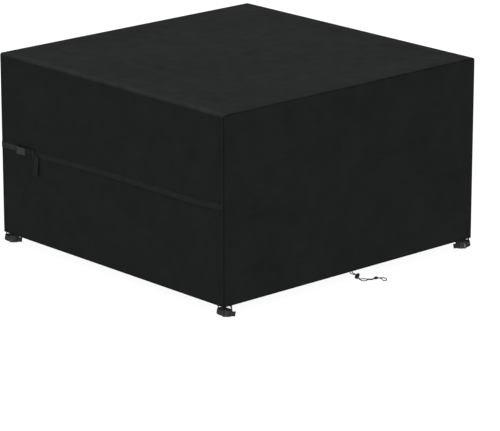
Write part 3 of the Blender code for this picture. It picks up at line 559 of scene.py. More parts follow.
# %% Sizes of the cloths
HEM_TALL = 0.028
HEM_THICK = 0.0030
FOLD_ROUND = 0.010
EDGE_ROUND = 0.005
SEAM_TURN = 0.0019
SEAM_DEPTH = 0.004
SEAM_PRESSED = 0.00006
GAP = 0.0003
TOP_SAG = 0.002
OUTLET_Y, OUTLET_THICK, OUTLET_REACH, OUTLET_TALL = -0.0043, 0.0050, 0.016, 0.012
BELT_WIDE = 0.025
BELT_DROP = ((0.000, 0.3800), (0.250, 0.3797), (0.620, 0.3680), (1.220, 0.3660), (1.350, 0.3570))
# Metres of the belt along which its lower edge has painted shade, short of the hanging end
BELT_RUN = 1.22
BELT_FLAT = (0.333, 0.405)
BELT_FADE = 0.07
ROW_STEP = 0.009
COLUMN_STEP = 0.0145
TOPSTITCH = (0.016, 0.027)
# Soft waves of each face: height, turns across and up the face, phase
WAVES = {
    "top": ((0.0016, 0.9, 1.3, 0.4), (0.0011, 1.9, -0.8, 2.1)),
    "front": ((0.0018, 1.2, 0.6, 1.0), (0.0012, 2.3, -1.1, 0.3)),
    "right": ((0.0020, 1.1, 0.8, 2.6), (0.0012, 2.1, 1.2, 0.9)),
    "back": ((0.0018, 1.3, -0.7, 0.2), (0.0012, 2.2, 1.0, 1.7)),
    "left": ((0.0020, 1.0, 0.9, 1.9), (0.0011, 2.2, -1.0, 0.6)),
}
WAVE_EDGE = 0.22
# Each row: height, noise turns a metre, shift of the seed
DENTS = ((0.0009, 6.5, 0.0), (0.0004, 17.0, 5.0))
DENT_EDGE = 0.06
# Each row: weight, noise turns a metre, third place in the noise
RIPPLES = ((1.0, 26.0, 0.5), (0.5, 55.0, 3.5))
PUCKER_TALL, PUCKER_START, PUCKER_FADE, PUCKER_END = 0.0008, 0.005, 0.026, 0.09
GROOVE_DEEP, GROOVE_WIDE = 0.00035, 0.0022
UV_SHIFT = 0.8
HEM_EASE = 0.008
# Painted light, above zero for painted highlights and below zero for painted shade, with its reach
SEAM_SHADE, SEAM_REACH = 0.9, 0.0035
HEM_SHADE, HEM_REACH = 0.7, 0.0045
ROW_SHADE, ROW_REACH = 0.8, 0.0013
# Painted highlight on the front fold and the top's edge beside it, painted shade on the back fold
FOLD_GAIN, FRONT_FOLD_HIGHLIGHT, BACK_FOLD_SHADE = 2.6, 0.85, -0.8
TOP_EDGE_HIGHLIGHT, TOP_REACH = 0.55, 0.016
# Each row: painted highlight beside a stitched row, inward from the seam, reach
BESIDE_ROWS = ((0.12, 0.009, 0.004), (0.05, 0.0215, 0.003))
print("cover", WIDE, "by", DEEP, "by", TALL, "m, hem at", round(HEM, 4))

# %% [markdown]
# The cloth is taut but never quite flat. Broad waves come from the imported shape. Small
# dents and the puckers that stitching draws along a seam are added here with noise,
# which fades out at every edge so that the pieces still meet.


# %% Unevenness of the cloths
def near(distance, reach):
    """1 at no distance, falling smoothly to almost nothing at twice the reach."""
    return math.exp(-((distance / reach) ** 2))


def broad_wave(face, across, along):
    height = -TOP_SAG if face == "top" else 0.0
    for tall, turns_across, turns_along, phase in WAVES[face]:
        height += tall * math.sin(math.pi * (turns_across * across + turns_along * along) + phase)
    for place in (across, along):
        height *= smooth_step((1 - abs(place)) / WAVE_EDGE)
    return height


def small_dents(seed, a, b, from_edge):
    """Dents of a few centimetres, for a place in metres on a face."""
    dent = sum(
        tall * noise.noise(Vector((a * turns, b * turns, seed + shift)))
        for tall, turns, shift in DENTS
    )
    return dent * smooth_step(from_edge / DENT_EDGE)


def pucker(seed, from_seam, along):
    """Ripples that the stitching draws, next to a seam that runs along a face."""
    if from_seam > PUCKER_END:
        return 0.0
    ripple = sum(
        weight * noise.noise(Vector((along * turns, seed, third)))
        for weight, turns, third in RIPPLES
    )
    fade = math.exp(-from_seam / PUCKER_FADE) * smooth_step(from_seam / PUCKER_START)
    return PUCKER_TALL * ripple * fade


def stitch_groove(inward):
    """The thread pulls the cloth down along the two rows beside a seam."""
    return -GROOVE_DEEP * sum(near(inward - row, GROOVE_WIDE) for row in TOPSTITCH)


def face_lift(face, across, along):
    """How far a face stands out. along is y on the top, and z on an upright face."""
    half = WIDE / 2 - FOLD_ROUND
    if face == "top":
        height = broad_wave(face, across / half, along / half)
        edge = half - max(abs(across), abs(along))
        height += small_dents(1.0, across, along, edge)
        height += pucker(11.0, half - abs(across), along)
        return height + pucker(12.0, half - abs(along), across)
    tall = (TOP - FOLD_ROUND - HEM) / 2
    seed = 2.0 + 3.0 * ("front", "right", "back", "left").index(face)
    height = broad_wave(face, across / half, (along - HEM - tall) / tall)
    up, down = TOP - FOLD_ROUND - along, along - HEM
    height += small_dents(seed, across, along, min(half - abs(across), up, down))
    height += pucker(seed + 20, half - abs(across), along)
    height += 0.6 * pucker(seed + 21, down, across) * smooth_step((half - abs(across)) / 0.03)
    if face == "front":
        low, high = TOP - BELT_FLAT[1], TOP - BELT_FLAT[0]
        height *= smooth_step(max(low - along, along - high, 0.0) / BELT_FADE)
    return height


middle = (TOP + HEM) / 2
print("the right side stands out by", round(face_lift("right", 0.0, middle), 4), "m in its middle")

# %% [markdown]
# The edge's section is drawn once, flat, and swept along each seam. Rows and columns lie
# close together where the cloth bends or is stitched, and further apart on the flat.

# %% Seam, rows and columns of the grids
def seam_section(thick, steps=5):
    """A cloth's edge turning into a seam, as (outer, inner) pairs of (inward, deep)."""
    shift = math.sqrt(2) * (SEAM_TURN - SEAM_PRESSED / 2)
    centre = Vector((EDGE_ROUND + shift, EDGE_ROUND))
    diagonal = Vector((math.sqrt(0.5), math.sqrt(0.5)))
    radii = (EDGE_ROUND, EDGE_ROUND - thick)
    pairs = []
    for step in range(2 * steps + 1):
        if step <= steps:
            angle = math.radians(45) * step / steps
        else:
            angle = math.radians(45 + 90 * (step - steps) / steps)
        if step == steps + 1:
            centre = centre - diagonal * (EDGE_ROUND - SEAM_TURN)
            radii = (SEAM_TURN, SEAM_TURN - thick)
        way = Vector((-math.sin(angle), -math.cos(angle)))
        pairs.append((centre + way * radii[0], centre + way * radii[1]))
    into = diagonal * SEAM_DEPTH
    pairs.append((pairs[-1][0] + into, pairs[-1][1] + into))
    return pairs


def spread(low, high, step):
    count = max(1, round((high - low) / step))
    return [low + (high - low) * number / count for number in range(count + 1)]


HEM_ROW = 0.0245
wall_rows = [
    HEM + rise for rise in (0.0, 0.0015, 0.006, 0.012, 0.019, 0.0232, HEM_ROW, 0.0258, 0.0285)
]
wall_rows += spread(HEM + 0.036, TOP - FOLD_ROUND, ROW_STEP)
seam_columns = (
    0.0, 0.0012, 0.0027, 0.0045, 0.006, 0.0073, 0.009, 0.012, 0.0148, 0.017, 0.0192, 0.024, 0.031,
)


def flat_columns(step):
    """Places across the flat part of a face, close together beside the seams."""
    end = WIDE / 2 - FOLD_ROUND
    right = [end - inward for inward in reversed(seam_columns)]
    middle = spread(-right[0] + step, right[0] - step, step)
    return [-x for x in reversed(right)] + middle + right


def seam_stations(columns, fold_steps=8):
    """The line of a side seam as (y, z, normal y, normal z): back hem, top, front hem."""
    half = DEEP / 2
    stations = [(half, z, 1.0, 0.0) for z in wall_rows]
    for side in (1, -1):
        turns = list(range(1, fold_steps))
        if side < 0:
            stations += [(y, TOP, 0.0, 1.0) for y in reversed(columns)]
            turns.reverse()
        for step in turns:
            angle = math.radians(90) * step / fold_steps
            y, z = math.cos(angle), math.sin(angle)
            stations.append((
                side * (half - FOLD_ROUND + FOLD_ROUND * y),
                TOP - FOLD_ROUND + FOLD_ROUND * z, side * y, z,
            ))
    stations += [(-half, z, -1.0, 0.0) for z in reversed(wall_rows)]
    return stations


def hem_thickness(z, from_seam):
    if z > HEM + HEM_TALL:
        return CLOTH
    return CLOTH + (HEM_THICK - CLOTH) * min(1.0, max(0.0, from_seam / HEM_EASE))


print("rows up a wall:", len(wall_rows))

# %% [markdown]
# A cloth's mesh keeps a UV map in metres, so that the weave has one size everywhere,
# and a value for painted light. It is high on the front fold, the top's edge beside it
# and beside the stitched rows, as painted highlights. It is below zero on the back fold,
# in the seams, along the stitched rows and at the hem, as painted shade.


# %% Helper for cloth meshes
class Cloth:
    """Outer and inner points on a grid, shared where they coincide, with UV and painted light."""

    def __init__(self):
        self.index, self.points, self.painted_light = {}, [], []
        self.faces, self.uvs = [], []

    def corner(self, point, painted_light):
        key = tuple(round(value, 6) for value in point)
        if key not in self.index:
            self.index[key] = len(self.points)
            self.points.append(tuple(point))
            self.painted_light.append(painted_light)
        return self.index[key]

    def face(self, corners):
        """A face of (point, uv, painted light) corners, without those that coincide."""
        numbers, uvs = [], []
        for point, uv, painted_light in corners:
            number = self.corner(point, painted_light)
            if number not in numbers:
                numbers.append(number)
                uvs.append(uv)
        if len(numbers) > 2:
            self.faces.append(numbers)
            self.uvs += uvs

    def strips(self, *pairs):
        """Faces between the two lines of corners of each pair, by turns along them."""
        for number in range(len(pairs[0][0]) - 1):
            for first, second in pairs:
                self.face([first[number], first[number + 1], second[number + 1], second[number]])

    def sheet(self, outer, inner, edges=("first", "last", "left", "right")):
        """Two faces of a sheet from grids of corners, and the strips that close its edges."""
        for row in range(len(outer) - 1):
            self.strips(*[(grid[row], grid[row + 1]) for grid in (outer, inner)])
        for name, row in (("first", 0), ("last", -1)):
            if name in edges:
                self.strips((outer[row], inner[row]))
        for name, column in (("left", 0), ("right", -1)):
            if name in edges:
                self.strips([[row[column] for row in grid] for grid in (outer, inner)])

    def mesh(self, name):
        made = mesh_with_uv(name, self.points, self.faces, self.uvs)
        painted_light = made.attributes.new("painted_light", "FLOAT", "POINT")
        painted_light.data.foreach_set("value", self.painted_light)
        return made


def both_faces(corner_at, rows, columns):
    """Grids of corners for the outer and the inner face, from a function of their places."""
    return [
        [[corner_at(row, column, inner) for column in columns] for row in rows]
        for inner in (False, True)
    ]


def painted_light_at(from_edge, z, rounding):
    """Painted light from a fold's turn, less painted shade near a seam and at the hem."""
    # Painted shade near a seam and at the hem
    shaded = SEAM_SHADE * near(from_edge, SEAM_REACH) + HEM_SHADE * near(z - HEM, HEM_REACH)
    return max(-1.0, rounding - shaded)


print("wear in a seam and at the hem:", painted_light_at(0.0, 0.0, 0.0), painted_light_at(1.0, HEM, 0.0))

# %% [markdown]
# The coated cloth is black with a trace of green. Seen close it shows a fine weave, and
# from further off soft clouds and faint level streaks, because the coating takes dust
# unevenly, most on the top. Where the painted light value is above zero the cloth is
# painted lighter as a highlight, and below zero it is painted darker as shade in seams,
# along rows, at the hem and on the back fold. A little painted light lies above the
# belt's upper edge, and a dark line of painted shadow below its lower one. Base colours
# this dark need a low specular level, or the white room would turn the black cloth grey.
# All layers of a noise share one origin and draw a star there, so the patterns are moved
# aside, away from the middle of the top.

# %% Cloth finish
# Colour of painted shade: seams, rows, hem, back fold, under the belt and the belt's lower edge
PAINTED_SHADE = (0.002, 0.002, 0.002, 1)
# Colour of painted highlight: front fold, top edge, beside rows and above the belt
PAINTED_HIGHLIGHT_CLOTH = (0.0265, 0.0300, 0.0285, 1)
cloth_finish, tree, shader = new_finish("coated cloth", 0.75, specular=0.02)
uv = uv_of(tree)
local = place_of(tree)
aside = add_node(tree, "Mapping", {"Vector": local, "Location": (3.71, 5.33, 2.87)}).outputs[0]
clouds = cloud(tree, aside, 6.0, 5.0, 0.65)
patches = cloud(tree, aside, 17.0, 3.0, 0.6)
streaks = cloud(tree, place_scaled(tree, aside, (22.0, 22.0, 130.0)), 1.0, 3.0)
fine = cloud(tree, aside, 150.0, 2.0)
tone = summed(tree, (clouds, 0.62), (patches, 0.3), (streaks, 0.29), (fine, 0.29))
parts = add_node(tree, "SeparateXYZ", {"Vector": local})
gain = stretch_range(tree, parts.outputs[2], -0.012, -0.002, 1.75, 4.6)
share = times(tree, maths(tree, "SUBTRACT", tone, 0.75), gain)
share = stretch_range(tree, share, -0.5, 0.5)
shade = blend_colours(tree, share, (0.0072, 0.0084, 0.0078, 1), (0.0138, 0.0156, 0.0147, 1))
# The painted light value: above zero it paints a highlight, below zero it paints shade
painted_light_share = add_node(tree, "Attribute", attribute_name="painted_light").outputs["Fac"]
painted_light_share = times(tree, painted_light_share, stretch_range(tree, patches, 0.3, 0.7, 0.5, 0.95))
shade = blend_colours(tree, painted_light_share, shade, PAINTED_HIGHLIGHT_CLOTH)
shade = blend_colours(tree, times(tree, painted_light_share, -1.0), shade, PAINTED_SHADE)
# Painted shadow below the belt and painted light above it, following the belt's sag
drop = BELT_DROP[0][1] - TOP
for (low, first), (high, second) in zip(BELT_DROP, BELT_DROP[1:]):
    low, high = low - WIDE / 2, high - WIDE / 2
    sink = stretch_range(tree, parts.outputs[0], low, high, 0.0, second - first)
    drop = plus(tree, sink, drop)
from_belt = plus(tree, parts.outputs[2], drop)
on_front = maths(tree, "LESS_THAN", parts.outputs[1], 0.003 - DEEP / 2)
# Painted shadow in a dark line under the belt's lower edge
under = times(tree, tent(tree, from_belt, -BELT_WIDE / 2 - 0.0040, 0.0060), on_front)
# Painted light along the belt's upper edge
over = times(tree, tent(tree, from_belt, BELT_WIDE / 2 + 0.0015, 0.0045), on_front)
shade = blend_colours(tree, times(tree, under, 0.19), shade, PAINTED_SHADE)
shade = blend_colours(tree, times(tree, over, 0.13), shade, PAINTED_HIGHLIGHT_CLOTH)
feed(shader, "Base Color", shade)
feed(shader, "Roughness", stretch_range(tree, clouds, 0.3, 0.7, 0.66, 0.8))
weave = woven(tree, uv, 0.0011, 0.0011)
threads = cloud(tree, place_scaled(tree, uv, (900.0, 60.0, 1.0)), 1.0, 2.0)
height = plus(tree, weave, times(tree, threads, 0.7))
bump = add_node(tree, "Bump", {"Height": height, "Strength": 0.35, "Distance": 0.0001})
wrinkles = cloud(tree, aside, 55.0, 4.0, 0.6)
second = add_node(tree, "Bump", {
    "Height": wrinkles, "Strength": 0.25, "Distance": 0.0006, "Normal": bump.outputs[0],
})
feed(shader, "Normal", second.outputs[0])
print("cloth finish of", len(tree.nodes), "nodes")

# %% [markdown]
# The strip's grid has a station for every step along its length, and a column for every
# step across. Its two long edges use the seam's section in place of a flat column.


# %% Make the strip of cloth
def main_columns():
    """(side, section pair or None, x) for each column across the strip."""
    section = seam_section(CLOTH)
    columns = [(-1, pair, None) for pair in reversed(section)]
    columns += [(0, None, x) for x in flat_columns(COLUMN_STEP)]
    return columns + [(1, pair, None) for pair in section]


def main_point(station, column, inner):
    """A point of the strip's outer or inner face, and its wear."""
    y, z, normal_y, normal_z = station
    side, pair, x = column
    # Painted highlight on the front fold and the top's edge beside it, painted shade on the back
    # fold
    rounding = min(1.0, FOLD_GAIN * abs(normal_y * normal_z))
    rounding *= FRONT_FOLD_HIGHLIGHT if y < 0 else BACK_FOLD_SHADE
    if y < 0:
        on_top = max(0.0, DEEP / 2 - FOLD_ROUND + y)
        rounding = max(rounding, TOP_EDGE_HIGHLIGHT * near(on_top, TOP_REACH) * normal_z)
    if side:
        inward, deep = pair[1] if inner else pair[0]
        x = side * (WIDE / 2 - inward)
        painted_light = painted_light_at(inward, z, rounding)
    else:
        inward = WIDE / 2 - abs(x)
        lift = stitch_groove(inward)
        if abs(normal_z) > 0.999:
            lift += face_lift("top", x, y)
        elif abs(normal_y) > 0.999:
            lift += face_lift("front" if y < 0 else "back", x, z)
        deep = -lift
        if inner:
            upright = abs(normal_y) > 0.999
            deep += hem_thickness(z, inward - FOLD_ROUND) if upright else CLOTH
        # Painted shade along the stitched rows and painted highlight beside them, on upright faces
        # only
        rows = ROW_SHADE * sum(near(inward - row, ROW_REACH) for row in TOPSTITCH)
        rows -= sum(row_highlight * near(inward - at, reach) for row_highlight, at, reach in BESIDE_ROWS)
        painted_light = painted_light_at(inward, z, rounding - rows * abs(normal_y))
    return Vector((x, y - deep * normal_y, z - deep * normal_z)), painted_light


stations = seam_stations(flat_columns(ROW_STEP))
columns = main_columns()
middle_row = len(stations) // 2
across = distances([main_point(stations[middle_row], column, False)[0] for column in columns])
middle_column = len(columns) // 2
along = distances([main_point(station, columns[middle_column], False)[0] for station in stations])


def main_corner(row, column, inner):
    """A corner of the strip, as (point, uv, wear)."""
    point, painted_light = main_point(row[0], column[0], inner)
    return point, (column[1], row[1]), painted_light


cloth = Cloth()
cloth.sheet(*both_faces(main_corner, list(zip(stations, along)), list(zip(columns, across))))
main_cloth = new_piece("cloth_strip", cloth.mesh("cloth_strip"), cloth_finish)
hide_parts("main_cloth")
print("strip", round(across[-1], 3), "by", round(along[-1], 3), "faces", len(cloth.faces))

# %% [markdown]
# A side cloth is a flat grid up to the start of the rounded edge. From there a strip
# with the seam's section follows the line of the seam, up one edge, along the top and
# down the other.


# %% Make the side cloths
def side_point(side, y, z, inner, has_outlet):
    """A corner of the flat part of a side cloth, as (point, uv, wear)."""
    face = "right" if side > 0 else "left"
    deep = -face_lift(face, y, z)
    from_edge = min(DEEP / 2 - abs(y), TOP - z)
    if inner:
        thick = hem_thickness(z, DEEP / 2 - FOLD_ROUND - abs(y))
        if has_outlet and z < HEM + OUTLET_TALL + GAP:
            bulge = math.exp(-(((y - OUTLET_Y) / OUTLET_REACH) ** 4))
            thick += (OUTLET_THICK - HEM_THICK) * bulge
        deep += thick
    point = Vector((side * (WIDE / 2 - deep), y, z))
    return point, (y + UV_SHIFT, z + UV_SHIFT), painted_light_at(from_edge, z, 0.0)


def seam_point(side, station, pair, turned, inner):
    """A corner of the edge that turns into the seam, as (point, uv, wear)."""
    y, z, normal_y, normal_z = station
    inward, deep = pair[1] if inner else pair[0]
    point = Vector((side * (WIDE / 2 - deep), y - inward * normal_y, z - inward * normal_z))
    reach = FOLD_ROUND - turned
    uv = (y - reach * normal_y + UV_SHIFT, z - reach * normal_z + UV_SHIFT)
    return point, uv, painted_light_at(inward, z, 0.0)


def side_cloth(name, node, side, has_outlet):
    columns = flat_columns(ROW_STEP)
    if has_outlet:
        columns = sorted(columns + [OUTLET_Y + d for d in (-0.020, -0.013, 0.013, 0.020)])
    cloth = Cloth()
    grids = both_faces(
        lambda z, y, inner: side_point(side, y, z, inner, has_outlet), wall_rows, columns
    )
    cloth.sheet(*grids, edges=("first",))
    flat = (Vector((FOLD_ROUND, 0.0)), Vector((FOLD_ROUND, CLOTH)))
    pairs = [flat] + seam_section(CLOTH)
    turned = distances([pair[0] for pair in pairs])
    grids = both_faces(
        lambda station, edge, inner: seam_point(side, station, *edge, inner),
        seam_stations(columns), list(zip(pairs, turned)),
    )
    cloth.sheet(*grids, edges=("first", "last", "right"))
    made = new_piece(name, cloth.mesh(name), cloth_finish)
    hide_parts(node)


side_cloth("cloth_right", "side_cloth_right", 1, True)
side_cloth("cloth_left", "side_cloth_left", -1, False)

# %% [markdown]
# ## Webbing
#
# Belt and loops are woven tape. A piece of tape is made from sections along its path,
# each given by its left edge, its right edge and the way it faces. The section is
# rounded at both edges, and fine ribs and the weave are in the finish, which reads a UV
# map in metres across and along.


# %% Helpers for webbing
def rounded(corners, step=9):
    """Corners (a, b, radius) of a line, each rounded by an arc that its sides leave room for."""
    points = []
    for number, (a, b, radius) in enumerate(corners):
        here = Vector((a, b))
        if number in (0, len(corners) - 1) or radius <= 0:
            points.append(here)
            continue
        before = Vector(corners[number - 1][:2]) - here
        after = Vector(corners[number + 1][:2]) - here
        room = 0.45 * min(before.length, after.length)
        before.normalize()
        after.normalize()
        turn = math.pi - before.angle(after)
        reach = min(room, radius * math.tan(turn / 2))
        radius = reach / math.tan(turn / 2)
        centre = here + (before + after).normalized() * (radius / math.cos(turn / 2))
        start = here + before * reach - centre
        way = 1 if before.x * after.y - before.y * after.x < 0 else -1
        steps = max(1, math.ceil(math.degrees(turn) / step))
        for part in range(steps + 1):
            points.append(centre + Matrix.Rotation(way * turn * part / steps, 2) @ start)
    return points


def sections_of(line, place, wide):
    """Sections (left, right, facing, stretch) of tape whose middle follows a flat line."""
    sections = []
    for number, here in enumerate(line):
        before = line[max(0, number - 1)]
        after = line[min(len(line) - 1, number + 1)]
        first = (here - before).normalized() if number else (after - here).normalized()
        last = (after - here).normalized() if number < len(line) - 1 else first
        way = (first + last).normalized()
        square = Vector((-way.y, way.x))
        left, right = Vector(place(here, -wide / 2)), Vector(place(here, wide / 2))
        facing = (Vector(place(here + square, -wide / 2)) - left).normalized()
        sections.append((left, right, facing, 1 / max(0.5, way.dot(first))))
    return sections


def refined(sections, parts=4):
    """More sections, on a smooth curve between the given ones."""
    made = []
    for number in range(len(sections) - 1):
        four = [sections[min(max(number + shift, 0), len(sections) - 1)] for shift in (-1, 0, 1, 2)]
        for part in range(parts):
            t = part / parts
            weights = (
                (-t + 2 * t * t - t ** 3) / 2, (2 - 5 * t * t + 3 * t ** 3) / 2,
                (t + 4 * t * t - 3 * t ** 3) / 2, (-t * t + t ** 3) / 2,
            )
            left, right, facing = (
                sum((w * s[place] for w, s in zip(weights, four)), Vector()) for place in range(3)
            )
            made.append((left, right, facing.normalized(), 1.0))
    return made + [sections[-1]]


turned_corner = rounded([(0, 0, 0), (0.1, 0, 0.01), (0.1, 0.1, 0)])
print("a square corner is rounded with", len(turned_corner) - 2, "points")

# %% Tape from sections
TAPE_ACROSS = 12


def tape_mesh(name, sections, thick):
    """Closed mesh of tape, with rounded edges and a UV map in metres."""
    shares = [math.sin(math.pi / 2 * (2 * n / TAPE_ACROSS - 1)) for n in range(TAPE_ACROSS + 1)]
    rings = []
    middles = [(left + right) / 2 for left, right, _, _ in sections]
    for middle, travelled, section in zip(middles, distances(middles), sections):
        left, right, facing, stretch = section
        half_wide = (right - left) / 2
        ring = []
        for face in (1, -1):
            for share in shares if face > 0 else reversed(shares):
                tall = thick / 2 * stretch * (1 - abs(share) ** 10) ** 0.5
                tall = max(tall, 0.3 * thick / 2)
                point = middle + half_wide * share + facing * (face * tall)
                ring.append((point, (half_wide.length * share, travelled), 0.0))
        rings.append(ring)
    tape = Cloth()
    for first, second in zip(rings, rings[1:]):
        tape.strips((first + first[:1], second + second[:1]))
    for ring in (rings[0], rings[-1]):
        tape.strips((ring[:TAPE_ACROSS + 1], ring[::-1][:TAPE_ACROSS + 1]))
    return tape.mesh(name)


print("tape has", 2 * (TAPE_ACROSS + 1), "points round its section")

# %% [markdown]
# Webbing looks ribbed along its length, with fine cross threads and fuzz. These are too
# fine for the mesh, so they are a relief in the finish. The belt also gets a darker lower
# edge, which is painted shade.


# %% Webbing finish
def webbing_finish(name, low, high, rib=0.0021, painted_edge_shade=0.0):
    """Woven tape: ribs, cross threads, fuzz, and painted shade along the belt's lower edge."""
    made, tree, shader = new_finish(name, 0.76, specular=0.06)
    uv = uv_of(tree)
    parts = add_node(tree, "SeparateXYZ", {"Vector": uv})
    ribs = maths(tree, "SINE", times(tree, parts.outputs[0], math.tau / rib))
    weave = woven(tree, uv, rib, 0.0013)
    fibre = cloud(tree, place_scaled(tree, uv, (2600.0, 500.0, 1.0)), 1.0, 2.0)
    height = summed(tree, (ribs, 0.6), (weave, 0.6), (fibre, 0.5))
    relief(tree, shader, height, 0.5, 0.00018)
    tone = summed(tree, (cloud(tree, place_of(tree), 60.0, 4.0), 0.7), (ribs, 0.12))
    shade = blend_colours(tree, stretch_range(tree, tone, 0.2, 0.5), low, high)
    # Painted shade along the belt's lower edge, except on the hanging end
    if painted_edge_shade:
        half = BELT_WIDE / 2
        edge_shade_share = stretch_range(tree, parts.outputs[0], -half, 0.0040 - half, painted_edge_shade, 0.0)
        on_belt = maths(tree, "LESS_THAN", parts.outputs[1], BELT_RUN)
        edge_shade_share = times(tree, edge_shade_share, on_belt)
        shade = blend_colours(tree, edge_shade_share, shade, PAINTED_SHADE)
    feed(shader, "Base Color", shade)
    return made

# %% [markdown]
# ## The belt
#
# Both ends of the belt are caught in the side seams. The short piece goes round the
# socket's bar and back over itself. The long piece runs through the plug's ladder,
# whose bar and end hold it by friction, and its loose end is folded over on the
# diagonal so that it hangs down. The heights at which the tape passes itself and the
# bars come from the thickness of the tape and of the plug's frame.

# %% Sizes of belt and buckles
BELT_BUCKLE_AT = 0.160
BELT_FOLD_BACK = 0.012
TAIL_AT = 0.0600
# Strength of the painted shade along the belt's lower edge
BELT_EDGE_SHADE = 0.75
BELT_STOPS = (1.2, 1.0, 0.8, 0.62, 0.45, 0.3)
WRAP_ANGLES = (40, 34, 27, 20, 14, 7, 0)
# Each row: below the belt, sideways, off the belt
TAIL = (
    (0.003, 0.0000, 0.0000), (0.018, 0.0002, 0.0003), (0.034, -0.0003, 0.0012),
    (0.048, -0.0010, 0.0026), (0.061, -0.0015, 0.0044), (0.0735, -0.0016, 0.0064),
)
BELT_KIT = {
    "half_length": 0.057, "mouth": 0.005, "webbing_thick": 0.0015, "bar": 0.0040,
    "shoulder": 0.0070, "slot_one": 0.0050, "centre_bar": 0.0100, "frame": 0.0035,
    "descent": 0.0070,
}
LOOP_KIT = {
    "half_length": 0.0185, "mouth": 0.002, "webbing_thick": 0.0012, "bar": 0.0025,
    "shoulder": 0.0030, "slot_one": 0.0030, "centre_bar": 0.0030, "frame": 0.0026,
    "descent": 0.0015,
}


def levels(kit):
    """Heights at which the middle of the tape passes a buckle."""
    thick = kit["webbing_thick"]
    frame_low = 3 * GAP + 2 * thick
    return {
        "load": GAP + thick / 2,
        "tail": 2 * GAP + thick * 1.5,
        "over": frame_low + kit["frame"] + GAP + thick / 2,
        "over_bar": 2 * GAP + thick + kit["frame"] * 0.9 + GAP + thick / 2,
        "bend": thick / 2 + 0.0004,
    }


def ladder_line(kit):
    """Corners of the tape from the plug's inner slot, over its bar, to the end bar."""
    height = levels(kit)
    thick = kit["webbing_thick"]
    slot = kit["mouth"] + kit["shoulder"] + kit["slot_one"]
    rise = slot - GAP - thick / 2
    drop = slot + kit["centre_bar"] + GAP + thick / 2
    return [
        (rise, height["load"], height["bend"]), (rise, height["over"], height["bend"]),
        (drop, height["over"], height["bend"]),
        (drop + kit["descent"], height["tail"], height["bend"]),
    ]


def belt_height(x):
    at = x + WIDE / 2
    for (low, first), (high, second) in zip(BELT_DROP, BELT_DROP[1:]):
        if at <= high:
            return TOP - first - (second - first) * max(0.0, at - low) / (high - low)
    return TOP - BELT_DROP[-1][1]


def belt_place(point, across):
    x = BELT_BUCKLE_AT - WIDE / 2 + point[0]
    return (x, -DEEP / 2 - point[1], belt_height(x) + across)


def seam_wrap(level, side):
    """The belt's end, round the cover's edge to the seam."""
    centre = EDGE_ROUND + math.sqrt(2) * (SEAM_TURN + GAP / 2)
    points = []
    for angle in WRAP_ANGLES:
        way = math.radians(angle)
        inward = centre - (EDGE_ROUND + level) * math.sin(way)
        out = (EDGE_ROUND + level) * math.cos(way) - EDGE_ROUND
        points.append((side * (WIDE / 2 - inward) - (BELT_BUCKLE_AT - WIDE / 2), out, 0))
    return points


print("tape off the cloth:", {name: round(value, 4) for name, value in levels(BELT_KIT).items()})

# %% Make the belt
belt_finish = webbing_finish(
    "belt webbing", (0.0087, 0.0083, 0.0085, 1), (0.0155, 0.0147, 0.0151, 1),
    painted_edge_shade=BELT_EDGE_SHADE,
)
# A lighter copy of the webbing for the short piece, which is painted light
belt_lighter_finish = webbing_finish(
    "belt webbing, painted lighter end", (0.0140, 0.0155, 0.0149, 1), (0.0235, 0.0262, 0.0252, 1),
    painted_edge_shade=BELT_EDGE_SHADE,
)


def belt_short():
    height = levels(BELT_KIT)
    half, thick = BELT_KIT["half_length"], BELT_KIT["webbing_thick"]
    turn = -half + BELT_KIT["bar"] + GAP + thick / 2
    back = -half - GAP - thick / 2
    corners = seam_wrap(height["load"], -1) + [
        (turn, height["load"], height["bend"]), (turn, height["over_bar"], height["bend"]),
        (back, height["over_bar"], height["bend"]), (back - 0.004, height["tail"], 0.003),
        (-half - BELT_FOLD_BACK, height["tail"], 0),
    ]
    return sections_of(rounded(corners), belt_place, BELT_WIDE)


def belt_long():
    height = levels(BELT_KIT)
    thick = BELT_KIT["webbing_thick"]
    corners = seam_wrap(height["load"], 1)
    corners += [(stop - BELT_BUCKLE_AT, height["load"], 0) for stop in BELT_STOPS]
    corners += ladder_line(BELT_KIT) + [(TAIL_AT - 0.001, height["tail"], 0)]
    sections = sections_of(rounded(corners), belt_place, BELT_WIDE)
    x = BELT_BUCKLE_AT - WIDE / 2 + TAIL_AT
    middle, level = belt_height(x), height["tail"]
    top = Vector((x, -DEEP / 2 - level, middle + BELT_WIDE / 2))
    bottom = Vector((x + BELT_WIDE, -DEEP / 2 - level, middle - BELT_WIDE / 2))
    out = Vector((0.0, -1.0, 0.0))
    away = Vector((1.0, 0.0, 1.0)).normalized()
    tight = (thick + GAP) / 2
    flip = -1 if sections[-1][2].dot(out) < 0 else 1
    order = sections[-1][0].z < sections[-1][1].z
    for turn in range(0, 181, 15):
        angle = math.radians(turn)
        shift = away * tight * math.sin(angle) + out * tight * (1 - math.cos(angle))
        facing = (out * math.cos(angle) - away * math.sin(angle)) * flip
        ends = (bottom + shift, top + shift) if order else (top + shift, bottom + shift)
        sections.append((*ends, facing, 1.0))
    folded = level + 2 * tight
    line = [
        Vector((x + sideways, -DEEP / 2 - folded - stand, middle - BELT_WIDE / 2 - below))
        for below, sideways, stand in TAIL
    ]
    wide = Vector((BELT_WIDE, 0.0, 0.0))
    tail = []
    for number, here in enumerate(line):
        facing = wide.cross(step_past(line, number)).normalized()
        if facing.y * flip < 0:
            facing.negate()
        ends = (here + wide, here) if order else (here, here + wide)
        tail.append((*ends, facing, 1.0))
    return sections + refined(tail)


for name, node, sections, finish in (
    ("belt_left", "belt_short", belt_short(), belt_lighter_finish),
    ("belt_right", "belt_long", belt_long(), belt_finish),
):
    mesh = tape_mesh(name, sections, BELT_KIT["webbing_thick"])
    made = new_piece(name, mesh, finish, smooth=60)
    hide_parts(node)
print("belt sections:", len(sections))

